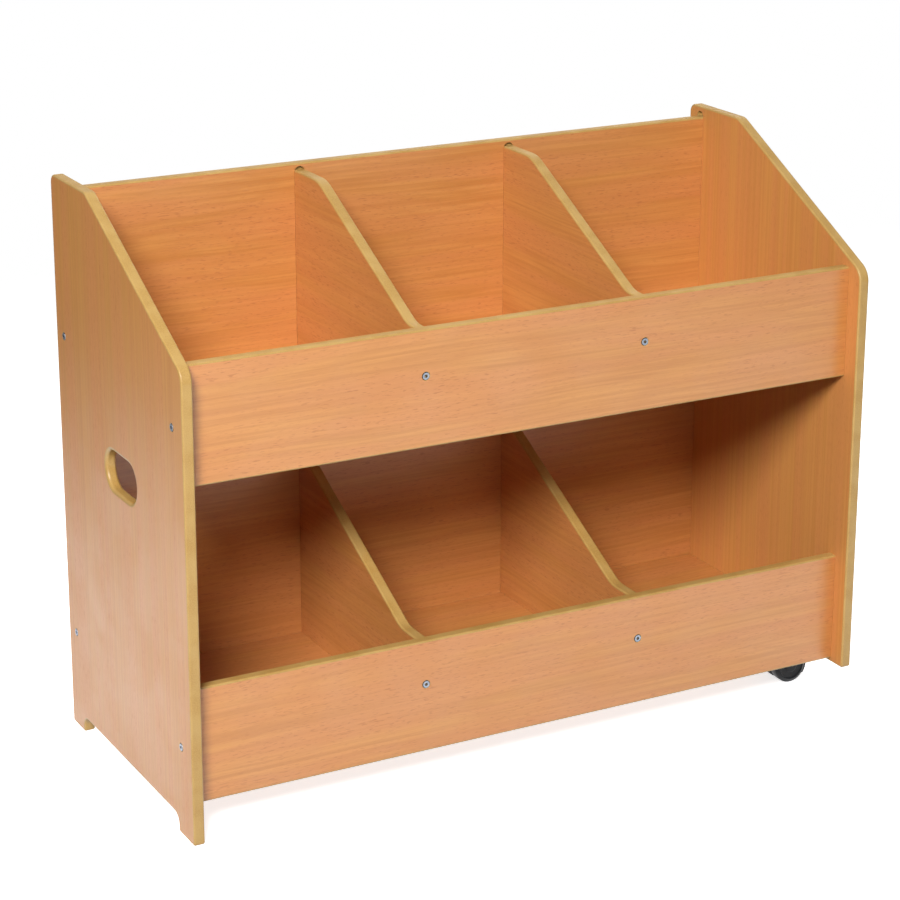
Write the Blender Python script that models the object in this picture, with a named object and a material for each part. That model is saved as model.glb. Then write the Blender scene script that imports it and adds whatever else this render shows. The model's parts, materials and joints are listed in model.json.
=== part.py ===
"""Mobile book cart: two tiers of three bays in beech-effect board.

The left end stands on two feet and has a hand slot.  The right end rests on two
twin-wheel swivel castors under the lower shelf, so the cart is lifted by the slot
and wheeled like a barrow.

Frame: origin on the floor under the middle of the cart, +X to the castor end,
-Y to the front, +Z up.  All lengths are in metres.
"""

from math import atan2, ceil, cos, pi, radians, sin, sqrt, tan

import bmesh
import bpy
from mathutils import Vector

# ------------------------------------------------------------------ driving sizes
CART_WIDTH = 1.000
CART_DEPTH = 0.424
CART_HEIGHT = 0.770
BOARD = 0.015                # thickness of every board
EDGE_ROUND = 0.0025          # rounding along the boards' edges
GAP = 0.0003                 # clearance between fitted pieces

FRONT_INSET = 0.026          # front panels sit this far behind the side panels' edge
BACK_INSET = 0.0195          # back panel's rear face in front of the sides' rear edge
PANEL_HEIGHT = 0.155         # height of both front panels
UPPER_PANEL_BOTTOM = 0.461
SHELF_RISE = 0.0335          # shelf top above the bottom of its front panel

BACK_TOP_DROP = 0.015        # back panel's top below the sides' top
BACK_BOTTOM_RISE = 0.008     # back panel's bottom above the lower front panel's
RIGHT_PANEL_BOTTOM = 0.038   # the castor end stays clear of the floor

SIDE_FLAT = 0.122            # level top of a side panel, from the rear edge
SIDE_SLOPE_DROP = 0.002      # slope meets the front edge this far below the upper panel's top
SIDE_FRONT_RADIUS = 0.026
SIDE_TOP_RADIUS = 0.022
SIDE_REAR_RADIUS = 0.012

FRONT_FOOT = 0.049           # length of the front foot of the left panel
REAR_FOOT = 0.044
ARCH_HEIGHT = 0.0225
ARCH_RADIUS = 0.014

SLOT_LENGTH = 0.104
SLOT_WIDTH = 0.053
SLOT_HEIGHT = 0.4216         # height of the slot's middle
SLOT_SHIFT = -0.0034         # the slot's middle from the panel's middle, along Y
SLOT_ROUND = 0.003

MIDDLE_BAY = 0.307           # clear width between the dividers
UPPER_DIVIDER_FOOT = 0.0210  # slope's foot behind the front panel
UPPER_DIVIDER_CREST = 0.0706  # slope's crest before the back panel
LOWER_DIVIDER_FOOT = 0.0436
LOWER_DIVIDER_CREST = 0.0304
DIVIDER_DROP = 0.001         # divider's front corner below the front panel's top
UPPER_DIVIDER_DROP = 0.009   # divider's level top below the back panel's top
LOWER_DIVIDER_TOP = 0.338
DIVIDER_SWEEP = 0.050        # radii of the dividers' outline
DIVIDER_CREST = 0.055
DIVIDER_REAR_RADIUS = 0.006

SIDE_GROOVE = 0.006          # depth of the grooves that hold the back panel
BACK_GROOVE = 0.005          # depth of the grooves that hold the dividers

SCREW_LENGTH = 0.050
SCREW_HEAD_RADIUS = 0.0052
SCREW_HEAD_HEIGHT = 0.0020
SCREW_PROUD = 0.0004
SCREW_RADIUS = 0.0028
SOCKET_RADIUS = 0.0021
SOCKET_DEPTH = 0.0014

DOWEL_RADIUS = 0.0040
DOWEL_IN_SIDE = 0.009
DOWEL_IN_SHELF = 0.021
DOWEL_SPREAD = 0.110         # a shelf's dowels lie this far either side of its middle

WHEEL_RADIUS = 0.025
WHEEL_INNER = 0.0038         # wheel's inner face from the castor's middle
WHEEL_OUTER = 0.0205
CASTOR_TRAIL = 0.016         # wheel axle behind the swivel axis
CASTOR_STACK = 0.0125        # shelf's underside above the top of the wheels
CASTOR_SIDE_CLEARANCE = 0.0105  # turned hood from the right panel
CASTOR_END_CLEARANCE = 0.0015   # turned wheels from the front and back panels
HOOD_CLEARANCE = 0.0020
HOOD_THICKNESS = 0.0025
HOOD_HALF_WIDTH = 0.0145
HOOD_START = -38.0           # degrees, below the axle on the trailing side
HOOD_END = 150.0
WEB_START = 18.0
WEB_HALF_WIDTH = 0.0032
HUB_RADIUS = 0.0080
RACE_RADIUS = 0.0160
BOSS_RADIUS = 0.0125
PLATE_HALF = 0.0210
PLATE_THICKNESS = 0.0025
PLATE_SCREW_OFFSET = 0.0160
PLATE_SCREW_RADIUS = 0.0018
PLATE_SCREW_HEAD = 0.0034
PLATE_SCREW_HEAD_HEIGHT = 0.0018
PLATE_SCREW_LENGTH = 0.0140
KINGPIN_RADIUS = 0.0040
AXLE_RADIUS = 0.0030
AXLE_HALF = 0.0170

# ------------------------------------------------------------------ derived places
HALF_WIDTH = CART_WIDTH / 2
HALF_DEPTH = CART_DEPTH / 2
INNER_X = HALF_WIDTH - BOARD                      # side panels' inner faces
FRONT_FACE = -HALF_DEPTH + FRONT_INSET            # front panels' front face
FRONT_REAR = FRONT_FACE + BOARD                   # front panels' rear face
BACK_REAR = HALF_DEPTH - BACK_INSET               # back panel's rear face
BACK_FACE = BACK_REAR - BOARD                     # back panel's front face
BACK_TOP = CART_HEIGHT - BACK_TOP_DROP
SHELF_UNDERSIDE = 2 * WHEEL_RADIUS + CASTOR_STACK
LOWER_SHELF_TOP = SHELF_UNDERSIDE + BOARD
LOWER_PANEL_BOTTOM = LOWER_SHELF_TOP - SHELF_RISE
BACK_BOTTOM = LOWER_PANEL_BOTTOM + BACK_BOTTOM_RISE
UPPER_SHELF_TOP = UPPER_PANEL_BOTTOM + SHELF_RISE
LOWER_PANEL_TOP = LOWER_PANEL_BOTTOM + PANEL_HEIGHT
UPPER_PANEL_TOP = UPPER_PANEL_BOTTOM + PANEL_HEIGHT
SIDE_SLOPE_FOOT = UPPER_PANEL_TOP - SIDE_SLOPE_DROP
UPPER_DIVIDER_TOP = BACK_TOP - UPPER_DIVIDER_DROP
DIVIDER_X = (MIDDLE_BAY + BOARD) / 2
DIVIDER_REAR = BACK_FACE + BACK_GROOVE - GAP
FRONT_MIDDLE = (FRONT_FACE + FRONT_REAR) / 2
BACK_MIDDLE = (BACK_FACE + BACK_REAR) / 2
HOOD_INNER = WHEEL_RADIUS + HOOD_CLEARANCE
HOOD_OUTER = HOOD_INNER + HOOD_THICKNESS
CASTOR_FROM_FRONT = CASTOR_TRAIL + WHEEL_RADIUS + CASTOR_END_CLEARANCE
CASTOR_X = INNER_X - CASTOR_TRAIL - HOOD_OUTER - CASTOR_SIDE_CLEARANCE
FRONT_CASTOR_Y = FRONT_REAR + CASTOR_FROM_FRONT
REAR_CASTOR_Y = BACK_FACE - CASTOR_FROM_FRONT
PLATE_TOP = SHELF_UNDERSIDE - GAP
PLATE_BOTTOM = PLATE_TOP - PLATE_THICKNESS
RACE_TOP = PLATE_BOTTOM - GAP

X_AXIS = Vector((1.0, 0.0, 0.0))
Y_AXIS = Vector((0.0, 1.0, 0.0))
Z_AXIS = Vector((0.0, 0.0, 1.0))

BEECH = ("beech_board", (0.70, 0.42, 0.22), 0.42, 0.0)
DOWEL_WOOD = ("dowel_wood", (0.74, 0.58, 0.38), 0.65, 0.0)
ZINC = ("zinc_screw", (0.62, 0.63, 0.64), 0.30, 1.0)
PLATE_STEEL = ("castor_plate_steel", (0.60, 0.60, 0.61), 0.35, 1.0)
AXLE_STEEL = ("axle_steel", (0.55, 0.55, 0.56), 0.30, 1.0)
HOOD_BLACK = ("castor_hood_black", (0.018, 0.018, 0.020), 0.45, 0.0)
WHEEL_BLACK = ("castor_wheel_black", (0.022, 0.022, 0.024), 0.55, 0.0)


# ------------------------------------------------------------------ general helpers
def clear_scene():
    """Remove every object that is already in the scene."""
    for thing in list(bpy.data.objects):
        bpy.data.objects.remove(thing)


def finish(spec):
    """Return the material of a (name, colour, roughness, metallic) finish."""
    name, colour, roughness, metallic = spec
    material = bpy.data.materials.get(name)
    if material is None:
        material = bpy.data.materials.new(name)
        material.use_nodes = True
        shader = material.node_tree.nodes["Principled BSDF"]
        shader.inputs["Base Color"].default_value = (*colour, 1.0)
        shader.inputs["Roughness"].default_value = roughness
        shader.inputs["Metallic"].default_value = metallic
    return material


def add_object(name, mesh_builder, location, spec=None, parent=None):
    """Make an object at a world location from a bmesh built around that location."""
    bmesh.ops.recalc_face_normals(mesh_builder, faces=mesh_builder.faces[:])
    mesh = bpy.data.meshes.new(name)
    mesh_builder.to_mesh(mesh)
    mesh_builder.free()
    thing = bpy.data.objects.new(name, mesh)
    bpy.context.scene.collection.objects.link(thing)
    thing.location = location
    if parent is not None:
        thing.parent = parent
        thing.location = Vector(location) - parent.location
    if spec is not None:
        mesh.materials.append(finish(spec))
    return thing


def make_cutter(thing):
    """Mark an object as a tool body that other objects are cut or joined with."""
    thing.hide_render = True
    thing.display_type = "WIRE"
    return thing


def combine(target, tool, operation):
    """Add an exact Boolean of the tool body to the target."""
    modifier = target.modifiers.new(tool.name, "BOOLEAN")
    modifier.object = tool
    modifier.operation = operation
    modifier.solver = "EXACT"


def round_shading(thing, angle=35.0):
    """Shade a round piece smooth, keeping its real corners sharp."""
    thing.data.shade_smooth()
    thing.data.set_sharp_from_angle(angle=radians(angle))


def soften_edges(thing, width=EDGE_ROUND, segments=2):
    """Round the long edges of a board."""
    modifier = thing.modifiers.new("edges", "BEVEL")
    modifier.width = width
    modifier.segments = segments
    modifier.limit_method = "ANGLE"
    modifier.angle_limit = radians(50.0)


# ------------------------------------------------------------------ outlines
def arc_points(centre, radius, start, end, step=18.0):
    """Points on an arc, angles in degrees, both ends included."""
    count = max(1, ceil(abs(end - start) / step))
    points = []
    for index in range(count + 1):
        angle = radians(start + (end - start) * index / count)
        points.append((centre[0] + radius * cos(angle), centre[1] + radius * sin(angle)))
    return points


def rounded_corner(before, corner, after, radius, step):
    """Replace one corner of an outline by an arc of the given radius."""
    here = Vector(corner)
    first = (Vector(before) - here).normalized()
    second = (Vector(after) - here).normalized()
    half = first.angle(second) / 2
    reach = radius / tan(half)
    centre = here + (first + second).normalized() * (radius / sin(half))
    start = here + first * reach - centre
    end = here + second * reach - centre
    start_angle = atan2(start.y, start.x)
    turn = atan2(end.y, end.x) - start_angle
    turn = (turn + pi) % (2 * pi) - pi
    return arc_points(centre, radius, start_angle * 180 / pi, (start_angle + turn) * 180 / pi, step)


def rounded_outline(corners, step=15.0):
    """Turn (a, b, radius) corners into a closed outline with rounded corners."""
    points = []
    for index, (first, second, radius) in enumerate(corners):
        if radius <= 0:
            points.append((first, second))
            continue
        before = corners[index - 1][:2]
        after = corners[(index + 1) % len(corners)][:2]
        points.extend(rounded_corner(before, (first, second), after, radius, step))
    return points


def obround(middle, length, width, grow=0.0, step=18.0):
    """Outline of a slot with round ends, lying along the first axis."""
    radius = width / 2 + grow
    reach = (length - width) / 2
    right = arc_points((middle[0] + reach, middle[1]), radius, -90, 90, step)
    left = arc_points((middle[0] - reach, middle[1]), radius, 90, 270, step)
    return right + left


# ------------------------------------------------------------------ solids
def place(plane, point, depth):
    """World point of an outline point on a plane named by its two axes."""
    first, second = point
    if plane == "YZ":
        return Vector((depth, first, second))
    if plane == "XZ":
        return Vector((first, depth, second))
    return Vector((first, second, depth))


def loft(builder, plane, rings):
    """Close a solid through rings, each an (outline, depth) pair of equal length."""
    layers = []
    for outline, depth in rings:
        layers.append([builder.verts.new(place(plane, point, depth)) for point in outline])
    count = len(layers[0])
    for lower, upper in zip(layers, layers[1:]):
        for index in range(count):
            following = (index + 1) % count
            builder.faces.new((lower[index], lower[following], upper[following], upper[index]))
    builder.faces.new(list(reversed(layers[0])))
    builder.faces.new(layers[-1])


def lathe(builder, profile, segments, location, direction):
    """Turn a (radius, height) profile around a direction through a location."""
    turn = Z_AXIS.rotation_difference(direction).to_matrix()
    rings = []
    for radius, height in profile:
        if radius <= 0:
            rings.append([builder.verts.new(location + turn @ Vector((0, 0, height)))])
            continue
        ring = []
        for index in range(segments):
            angle = 2 * pi * index / segments
            spot = Vector((radius * cos(angle), radius * sin(angle), height))
            ring.append(builder.verts.new(location + turn @ spot))
        rings.append(ring)
    pairs = list(zip(rings, rings[1:]))
    if len(rings[0]) > 1 and len(rings[-1]) > 1:
        pairs.append((rings[-1], rings[0]))
    for lower, upper in pairs:
        join_rings(builder, lower, upper, segments)


def join_rings(builder, lower, upper, segments):
    """Bridge two rings, either of which may be a single point."""
    for index in range(segments):
        following = (index + 1) % segments
        if len(lower) == 1:
            builder.faces.new((lower[0], upper[following], upper[index]))
        elif len(upper) == 1:
            builder.faces.new((lower[index], lower[following], upper[0]))
        else:
            builder.faces.new((lower[index], lower[following], upper[following], upper[index]))


def board(name, plane, outline, start, end, spec=BEECH, soft=True):
    """Make a flat board from its outline, between two depths."""
    middle = [sum(values) / len(values) for values in zip(*outline)]
    origin = place(plane, middle, (start + end) / 2)
    builder = bmesh.new()
    loft(builder, plane, [(outline, start), (outline, end)])
    bmesh.ops.translate(builder, verts=builder.verts[:], vec=-origin)
    thing = add_object(name, builder, origin, spec)
    if soft:
        soften_edges(thing)
    return thing


def box_outline(low_first, high_first, low_second, high_second, radius=0.0):
    """Corners of a rectangle, as an outline."""
    return rounded_outline([
        (low_first, low_second, radius),
        (high_first, low_second, radius),
        (high_first, high_second, radius),
        (low_first, high_second, radius),
    ])


def turned(name, profile, segments, location, direction, spec, parent=None):
    """Make a round piece with its origin at its location."""
    builder = bmesh.new()
    lathe(builder, profile, segments, Vector((0, 0, 0)), direction)
    thing = add_object(name, builder, location, spec, parent)
    round_shading(thing)
    return thing


# ------------------------------------------------------------------ fixings
SCREW_SEGMENTS = 10


def screw_profile():
    """Profile of a furniture screw: head outwards at height 0, tip downwards."""
    top = SCREW_PROUD
    under = top - SCREW_HEAD_HEIGHT
    return [
        (0.0, top - SOCKET_DEPTH),
        (SOCKET_RADIUS, top - SOCKET_DEPTH),
        (SOCKET_RADIUS, top),
        (SCREW_HEAD_RADIUS, top),
        (SCREW_HEAD_RADIUS, under),
        (SCREW_RADIUS, under),
        (SCREW_RADIUS, -SCREW_LENGTH * 0.93),
        (0.0, -SCREW_LENGTH),
    ]


def screw_hole_profile():
    """Counterbored hole around a screw, with the fit's clearance."""
    under = SCREW_PROUD - SCREW_HEAD_HEIGHT - GAP
    return [
        (0.0, 0.002),
        (SCREW_HEAD_RADIUS + GAP, 0.002),
        (SCREW_HEAD_RADIUS + GAP, under),
        (SCREW_RADIUS + GAP, under),
        (SCREW_RADIUS + GAP, -SCREW_LENGTH - GAP),
        (0.0, -SCREW_LENGTH - GAP),
    ]


def screw(name, spot, direction):
    """Make one screw whose head faces along the direction."""
    turned(name, screw_profile(), SCREW_SEGMENTS, Vector(spot), direction, ZINC)


def screw_cuts(name, screws):
    """Tool body with the hole of every (spot, direction) screw."""
    builder = bmesh.new()
    for spot, direction in screws:
        lathe(builder, screw_hole_profile(), SCREW_SEGMENTS, Vector(spot), direction)
    return make_cutter(add_object(name, builder, (0, 0, 0)))


def side_screw_spots(side):
    """Screws through a side panel into the ends of the front and back panels."""
    outside = side * HALF_WIDTH
    direction = X_AXIS * side
    upper = UPPER_PANEL_BOTTOM + PANEL_HEIGHT / 2
    lower = LOWER_PANEL_BOTTOM + PANEL_HEIGHT / 2
    rise = PANEL_HEIGHT * 0.12
    return {
        "front_upper": ((outside, FRONT_MIDDLE, upper), direction),
        "front_lower": ((outside, FRONT_MIDDLE, lower), direction),
        "rear_upper": ((outside, BACK_MIDDLE, upper + rise), direction),
        "rear_lower": ((outside, BACK_MIDDLE, lower + rise), direction),
    }


def divider_screw_spots():
    """Screws through the front and back panels into the dividers' edges."""
    spots = {}
    tiers = (
        ("upper", UPPER_SHELF_TOP, UPPER_PANEL_TOP, UPPER_DIVIDER_TOP),
        ("lower", LOWER_SHELF_TOP, LOWER_PANEL_TOP, LOWER_DIVIDER_TOP),
    )
    for side, sign in (("left", -1), ("right", 1)):
        for tier, floor, panel_top, top in tiers:
            where = sign * DIVIDER_X
            middle = (floor + panel_top) / 2
            spots[f"{tier}_{side}_front"] = ((where, FRONT_FACE, middle), -Y_AXIS)
            low = floor + (top - floor) * 0.22
            high = floor + (top - floor) * 0.78
            spots[f"{tier}_{side}_back_low"] = ((where, BACK_REAR, low), Y_AXIS)
            spots[f"{tier}_{side}_back_high"] = ((where, BACK_REAR, high), Y_AXIS)
    return spots


def dowel_spots():
    """Dowels between the shelves' ends and the side panels."""
    spots = {}
    middle = (FRONT_REAR + BACK_FACE) / 2
    for tier, top in (("upper", UPPER_SHELF_TOP), ("lower", LOWER_SHELF_TOP)):
        for side, sign in (("left", -1), ("right", 1)):
            for place_name, shift in (("front", -DOWEL_SPREAD), ("rear", DOWEL_SPREAD)):
                spot = (sign * INNER_X, middle + shift, top - BOARD / 2)
                spots[f"{tier}_{side}_{place_name}"] = (spot, X_AXIS * sign)
    return spots


def dowel_cuts(name, spots):
    """Tool body with the bore of every dowel, both halves of it."""
    profile = [
        (0.0, DOWEL_IN_SIDE + GAP),
        (DOWEL_RADIUS + GAP, DOWEL_IN_SIDE + GAP),
        (DOWEL_RADIUS + GAP, -DOWEL_IN_SHELF - GAP),
        (0.0, -DOWEL_IN_SHELF - GAP),
    ]
    builder = bmesh.new()
    for spot, direction in spots:
        lathe(builder, profile, SCREW_SEGMENTS, Vector(spot), direction)
    return make_cutter(add_object(name, builder, (0, 0, 0)))


def make_dowels():
    """Make every shelf dowel."""
    chamfer = DOWEL_RADIUS * 0.25
    profile = [
        (0.0, DOWEL_IN_SIDE),
        (DOWEL_RADIUS - chamfer, DOWEL_IN_SIDE),
        (DOWEL_RADIUS, DOWEL_IN_SIDE - chamfer),
        (DOWEL_RADIUS, -DOWEL_IN_SHELF + chamfer),
        (DOWEL_RADIUS - chamfer, -DOWEL_IN_SHELF),
        (0.0, -DOWEL_IN_SHELF),
    ]
    for key, (spot, direction) in dowel_spots().items():
        turned(f"dowel_{key}", profile, SCREW_SEGMENTS, Vector(spot), direction, DOWEL_WOOD)


# ------------------------------------------------------------------ side panels
def side_outline_top():
    """Corners of a side panel from the rear edge over the top to the front edge."""
    return [
        (HALF_DEPTH, CART_HEIGHT, SIDE_REAR_RADIUS),
        (HALF_DEPTH - SIDE_FLAT, CART_HEIGHT, SIDE_TOP_RADIUS),
        (-HALF_DEPTH, SIDE_SLOPE_FOOT, SIDE_FRONT_RADIUS),
    ]


def left_outline():
    """Outline of the footed panel, in Y and Z."""
    front_end = -HALF_DEPTH + FRONT_FOOT
    rear_end = HALF_DEPTH - REAR_FOOT
    feet = [
        (-HALF_DEPTH, 0.0, 0.0),
        (front_end, 0.0, 0.0),
        (front_end, ARCH_HEIGHT, ARCH_RADIUS),
        (rear_end, ARCH_HEIGHT, ARCH_RADIUS),
        (rear_end, 0.0, 0.0),
        (HALF_DEPTH, 0.0, 0.0),
    ]
    return rounded_outline(feet + side_outline_top())


def right_outline():
    """Outline of the castor-end panel, in Y and Z."""
    base = [
        (-HALF_DEPTH, RIGHT_PANEL_BOTTOM, 0.003),
        (HALF_DEPTH, RIGHT_PANEL_BOTTOM, 0.003),
    ]
    return rounded_outline(base + side_outline_top())


def back_groove(name, side):
    """Tool body of the round-ended groove that takes the back panel's end."""
    width = BOARD + 2 * GAP
    radius = width / 2
    top = arc_points((BACK_MIDDLE, BACK_TOP), radius, 0, 180)
    bottom = arc_points((BACK_MIDDLE, BACK_BOTTOM), radius, 180, 360)
    builder = bmesh.new()
    depths = sorted((side * (INNER_X - 0.002), side * (INNER_X + SIDE_GROOVE)))
    loft(builder, "YZ", [(top + bottom, depth) for depth in depths])
    return make_cutter(add_object(name, builder, (0, 0, 0)))


def hand_slot(name):
    """Tool body of the hand slot, flared where the slot's edges are rounded."""
    middle = (SLOT_SHIFT, SLOT_HEIGHT)
    outer = -HALF_WIDTH
    inner = -INNER_X
    rings = [(SLOT_ROUND, outer - 0.002)]
    angles = (0, 45, 90)
    for angle in angles:
        swell = SLOT_ROUND * (1 - sin(radians(angle)))
        sink = SLOT_ROUND * (1 - cos(radians(angle)))
        rings.append((swell, outer + sink - 0.00005))
    for angle in reversed(angles):
        swell = SLOT_ROUND * (1 - sin(radians(angle)))
        sink = SLOT_ROUND * (1 - cos(radians(angle)))
        rings.append((swell, inner - sink + 0.00005))
    rings.append((SLOT_ROUND, inner + 0.002))
    builder = bmesh.new()
    layers = [(obround(middle, SLOT_LENGTH, SLOT_WIDTH, grow), depth) for grow, depth in rings]
    loft(builder, "YZ", layers)
    return make_cutter(add_object(name, builder, (0, 0, 0)))


def make_side(name, side, outline):
    """Make one side panel with its groove, screw holes and dowel bores."""
    depths = sorted((side * INNER_X, side * HALF_WIDTH))
    panel = board(name, "YZ", outline, *depths)
    combine(panel, back_groove(f"{name}_groove_cut", side), "DIFFERENCE")
    screws = screw_cuts(f"{name}_screw_cuts", side_screw_spots(side).values())
    combine(panel, screws, "DIFFERENCE")
    label = "left" if side < 0 else "right"
    bores = [spot for key, spot in dowel_spots().items() if label in key]
    combine(panel, dowel_cuts(f"{name}_dowel_cuts", bores), "DIFFERENCE")
    return panel


def make_sides():
    """Make both side panels and the screws through them."""
    left = make_side("left_side_panel", -1, left_outline())
    combine(left, hand_slot("left_side_panel_slot_cut"), "DIFFERENCE")
    make_side("right_side_panel", 1, right_outline())
    for label, side in (("left", -1), ("right", 1)):
        for key, (spot, direction) in side_screw_spots(side).items():
            screw(f"side_screw_{label}_{key}", spot, direction)


# ------------------------------------------------------------------ front, back, shelves
def chosen_screws(name, word):
    """Tool body with the divider screws whose name holds a word."""
    spots = [spot for key, spot in divider_screw_spots().items() if word in key]
    return screw_cuts(name, spots)


def end_screws(name, row):
    """Tool body with the side screws of the front or rear row, both ends."""
    spots = []
    for side in (-1, 1):
        spots.extend(spot for key, spot in side_screw_spots(side).items() if key.startswith(row))
    return screw_cuts(name, spots)


def make_front_panels():
    """Make the two front panels."""
    for tier, bottom in (("upper", UPPER_PANEL_BOTTOM), ("lower", LOWER_PANEL_BOTTOM)):
        name = f"{tier}_front_panel"
        reach = INNER_X - GAP
        outline = box_outline(-reach, reach, bottom, bottom + PANEL_HEIGHT)
        panel = board(name, "XZ", outline, FRONT_FACE, FRONT_REAR)
        combine(panel, chosen_screws(f"{name}_face_cuts", "front"), "DIFFERENCE")
        combine(panel, end_screws(f"{name}_end_cuts", "front"), "DIFFERENCE")


def divider_groove(builder, where, low, high):
    """Add one round-ended divider groove to a tool body."""
    radius = BOARD / 2 + GAP
    top = arc_points((where, high), radius, 0, 180)
    bottom = arc_points((where, low), radius, 180, 360)
    depths = (BACK_FACE - 0.002, BACK_FACE + BACK_GROOVE)
    loft(builder, "XZ", [(top + bottom, depth) for depth in depths])


def make_back_panel():
    """Make the back panel with its divider grooves and screw holes."""
    reach = INNER_X + SIDE_GROOVE - GAP
    outline = box_outline(-reach, reach, BACK_BOTTOM, BACK_TOP)
    panel = board("back_panel", "XZ", outline, BACK_FACE, BACK_REAR)
    builder = bmesh.new()
    for sign in (-1, 1):
        divider_groove(builder, sign * DIVIDER_X, UPPER_SHELF_TOP, UPPER_DIVIDER_TOP)
        divider_groove(builder, sign * DIVIDER_X, LOWER_SHELF_TOP, LOWER_DIVIDER_TOP)
    grooves = make_cutter(add_object("back_panel_groove_cuts", builder, (0, 0, 0)))
    combine(panel, grooves, "DIFFERENCE")
    combine(panel, chosen_screws("back_panel_screw_cuts", "back"), "DIFFERENCE")
    combine(panel, end_screws("back_panel_end_cuts", "rear"), "DIFFERENCE")


def make_shelves():
    """Make both shelves with the dowel bores in their ends."""
    for tier, top in (("upper", UPPER_SHELF_TOP), ("lower", LOWER_SHELF_TOP)):
        name = f"{tier}_shelf"
        reach = INNER_X - GAP
        outline = box_outline(-reach, reach, FRONT_REAR + GAP, BACK_FACE - GAP)
        shelf = board(name, "XY", outline, top - BOARD, top, soft=False)
        bores = [spot for key, spot in dowel_spots().items() if key.startswith(tier)]
        combine(shelf, dowel_cuts(f"{name}_dowel_cuts", bores), "DIFFERENCE")
        if tier == "lower":
            combine(shelf, plate_screw_cuts("lower_shelf_castor_cuts"), "DIFFERENCE")


# ------------------------------------------------------------------ dividers
def divider_outline(floor, panel_top, top, foot, crest):
    """Outline of a divider: level crest, long slope, sweep to the front panel."""
    front = FRONT_REAR + GAP
    front_top = panel_top - DIVIDER_DROP
    foot_y = FRONT_REAR + foot
    crest_y = BACK_FACE - crest
    turn = atan2(top - front_top, crest_y - foot_y)
    sweep_radius = min(DIVIDER_SWEEP, (foot - 2 * GAP) / tan(turn / 2))
    crest_radius = min(DIVIDER_CREST, (crest - DIVIDER_REAR_RADIUS) / tan(turn / 2))
    return rounded_outline([
        (front, floor + GAP, 0.0),
        (DIVIDER_REAR, floor + GAP, 0.0),
        (DIVIDER_REAR, top, DIVIDER_REAR_RADIUS),
        (crest_y, top, crest_radius),
        (foot_y, front_top, sweep_radius),
        (front, front_top, 0.0),
    ], step=9.0)


def make_dividers():
    """Make the four dividers and the screws into their edges."""
    upper_slope = (UPPER_DIVIDER_FOOT, UPPER_DIVIDER_CREST)
    lower_slope = (LOWER_DIVIDER_FOOT, LOWER_DIVIDER_CREST)
    tiers = (
        ("upper", UPPER_SHELF_TOP, UPPER_PANEL_TOP, UPPER_DIVIDER_TOP, upper_slope),
        ("lower", LOWER_SHELF_TOP, LOWER_PANEL_TOP, LOWER_DIVIDER_TOP, lower_slope),
    )
    for tier, floor, panel_top, top, slope in tiers:
        for side, sign in (("left", -1), ("right", 1)):
            name = f"{tier}_{side}_divider"
            middle = sign * DIVIDER_X
            outline = divider_outline(floor, panel_top, top, *slope)
            divider = board(name, "YZ", outline, middle - BOARD / 2, middle + BOARD / 2)
            word = f"{tier}_{side}"
            combine(divider, chosen_screws(f"{name}_cuts", word), "DIFFERENCE")
    for key, (spot, direction) in divider_screw_spots().items():
        screw(f"divider_screw_{key}", spot, direction)


# ------------------------------------------------------------------ castors
def plate_screw_places():
    """Every castor plate screw, by name, as its point on the plate's underside."""
    places = {}
    for row, along in (("front", FRONT_CASTOR_Y), ("rear", REAR_CASTOR_Y)):
        number = 0
        for first in (-1, 1):
            for second in (-1, 1):
                number += 1
                spot = (
                    CASTOR_X + first * PLATE_SCREW_OFFSET,
                    along + second * PLATE_SCREW_OFFSET,
                    PLATE_BOTTOM,
                )
                places[f"{row}_castor_screw_{number}"] = spot
    return places


def plate_screw_cuts(name, only=None):
    """Tool body with the holes of the plate screws."""
    profile = [
        (0.0, 0.002),
        (PLATE_SCREW_RADIUS + GAP, 0.002),
        (PLATE_SCREW_RADIUS + GAP, -PLATE_SCREW_LENGTH - GAP),
        (0.0, -PLATE_SCREW_LENGTH - GAP),
    ]
    builder = bmesh.new()
    for key, spot in plate_screw_places().items():
        if only is None or key.startswith(only):
            lathe(builder, profile, 8, Vector(spot), -Z_AXIS)
    return make_cutter(add_object(name, builder, (0, 0, 0)))


def make_plate_screws():
    """Make the screws that hold the castor plates to the lower shelf."""
    high = PLATE_SCREW_HEAD_HEIGHT + GAP
    profile = [
        (0.0, high),
        (PLATE_SCREW_HEAD * 0.6, high),
        (PLATE_SCREW_HEAD, GAP + PLATE_SCREW_HEAD_HEIGHT * 0.45),
        (PLATE_SCREW_HEAD, GAP),
        (PLATE_SCREW_RADIUS, GAP),
        (PLATE_SCREW_RADIUS, -PLATE_SCREW_LENGTH + PLATE_SCREW_RADIUS),
        (0.0, -PLATE_SCREW_LENGTH),
    ]
    for key, spot in plate_screw_places().items():
        turned(key, profile, 8, Vector(spot), -Z_AXIS, ZINC)


def make_castor_plate(row, along):
    """Make a mounting plate with its kingpin."""
    name = f"{row}_castor_plate"
    outline = box_outline(
        CASTOR_X - PLATE_HALF, CASTOR_X + PLATE_HALF,
        along - PLATE_HALF, along + PLATE_HALF, 0.004,
    )
    plate = board(name, "XY", outline, PLATE_BOTTOM, PLATE_TOP, PLATE_STEEL, soft=False)
    cuts = plate_screw_cuts(f"{name}_cuts", f"{row}_castor")
    combine(plate, cuts, "DIFFERENCE")
    pin = turned(
        f"{name}_kingpin",
        [
            (0.0, PLATE_BOTTOM + PLATE_THICKNESS / 2),
            (KINGPIN_RADIUS, PLATE_BOTTOM + PLATE_THICKNESS / 2),
            (KINGPIN_RADIUS, kingpin_end()),
            (0.0, kingpin_end()),
        ],
        16, Vector((CASTOR_X, along, 0.0)), Z_AXIS, None,
    )
    combine(plate, make_cutter(pin), "UNION")


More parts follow.
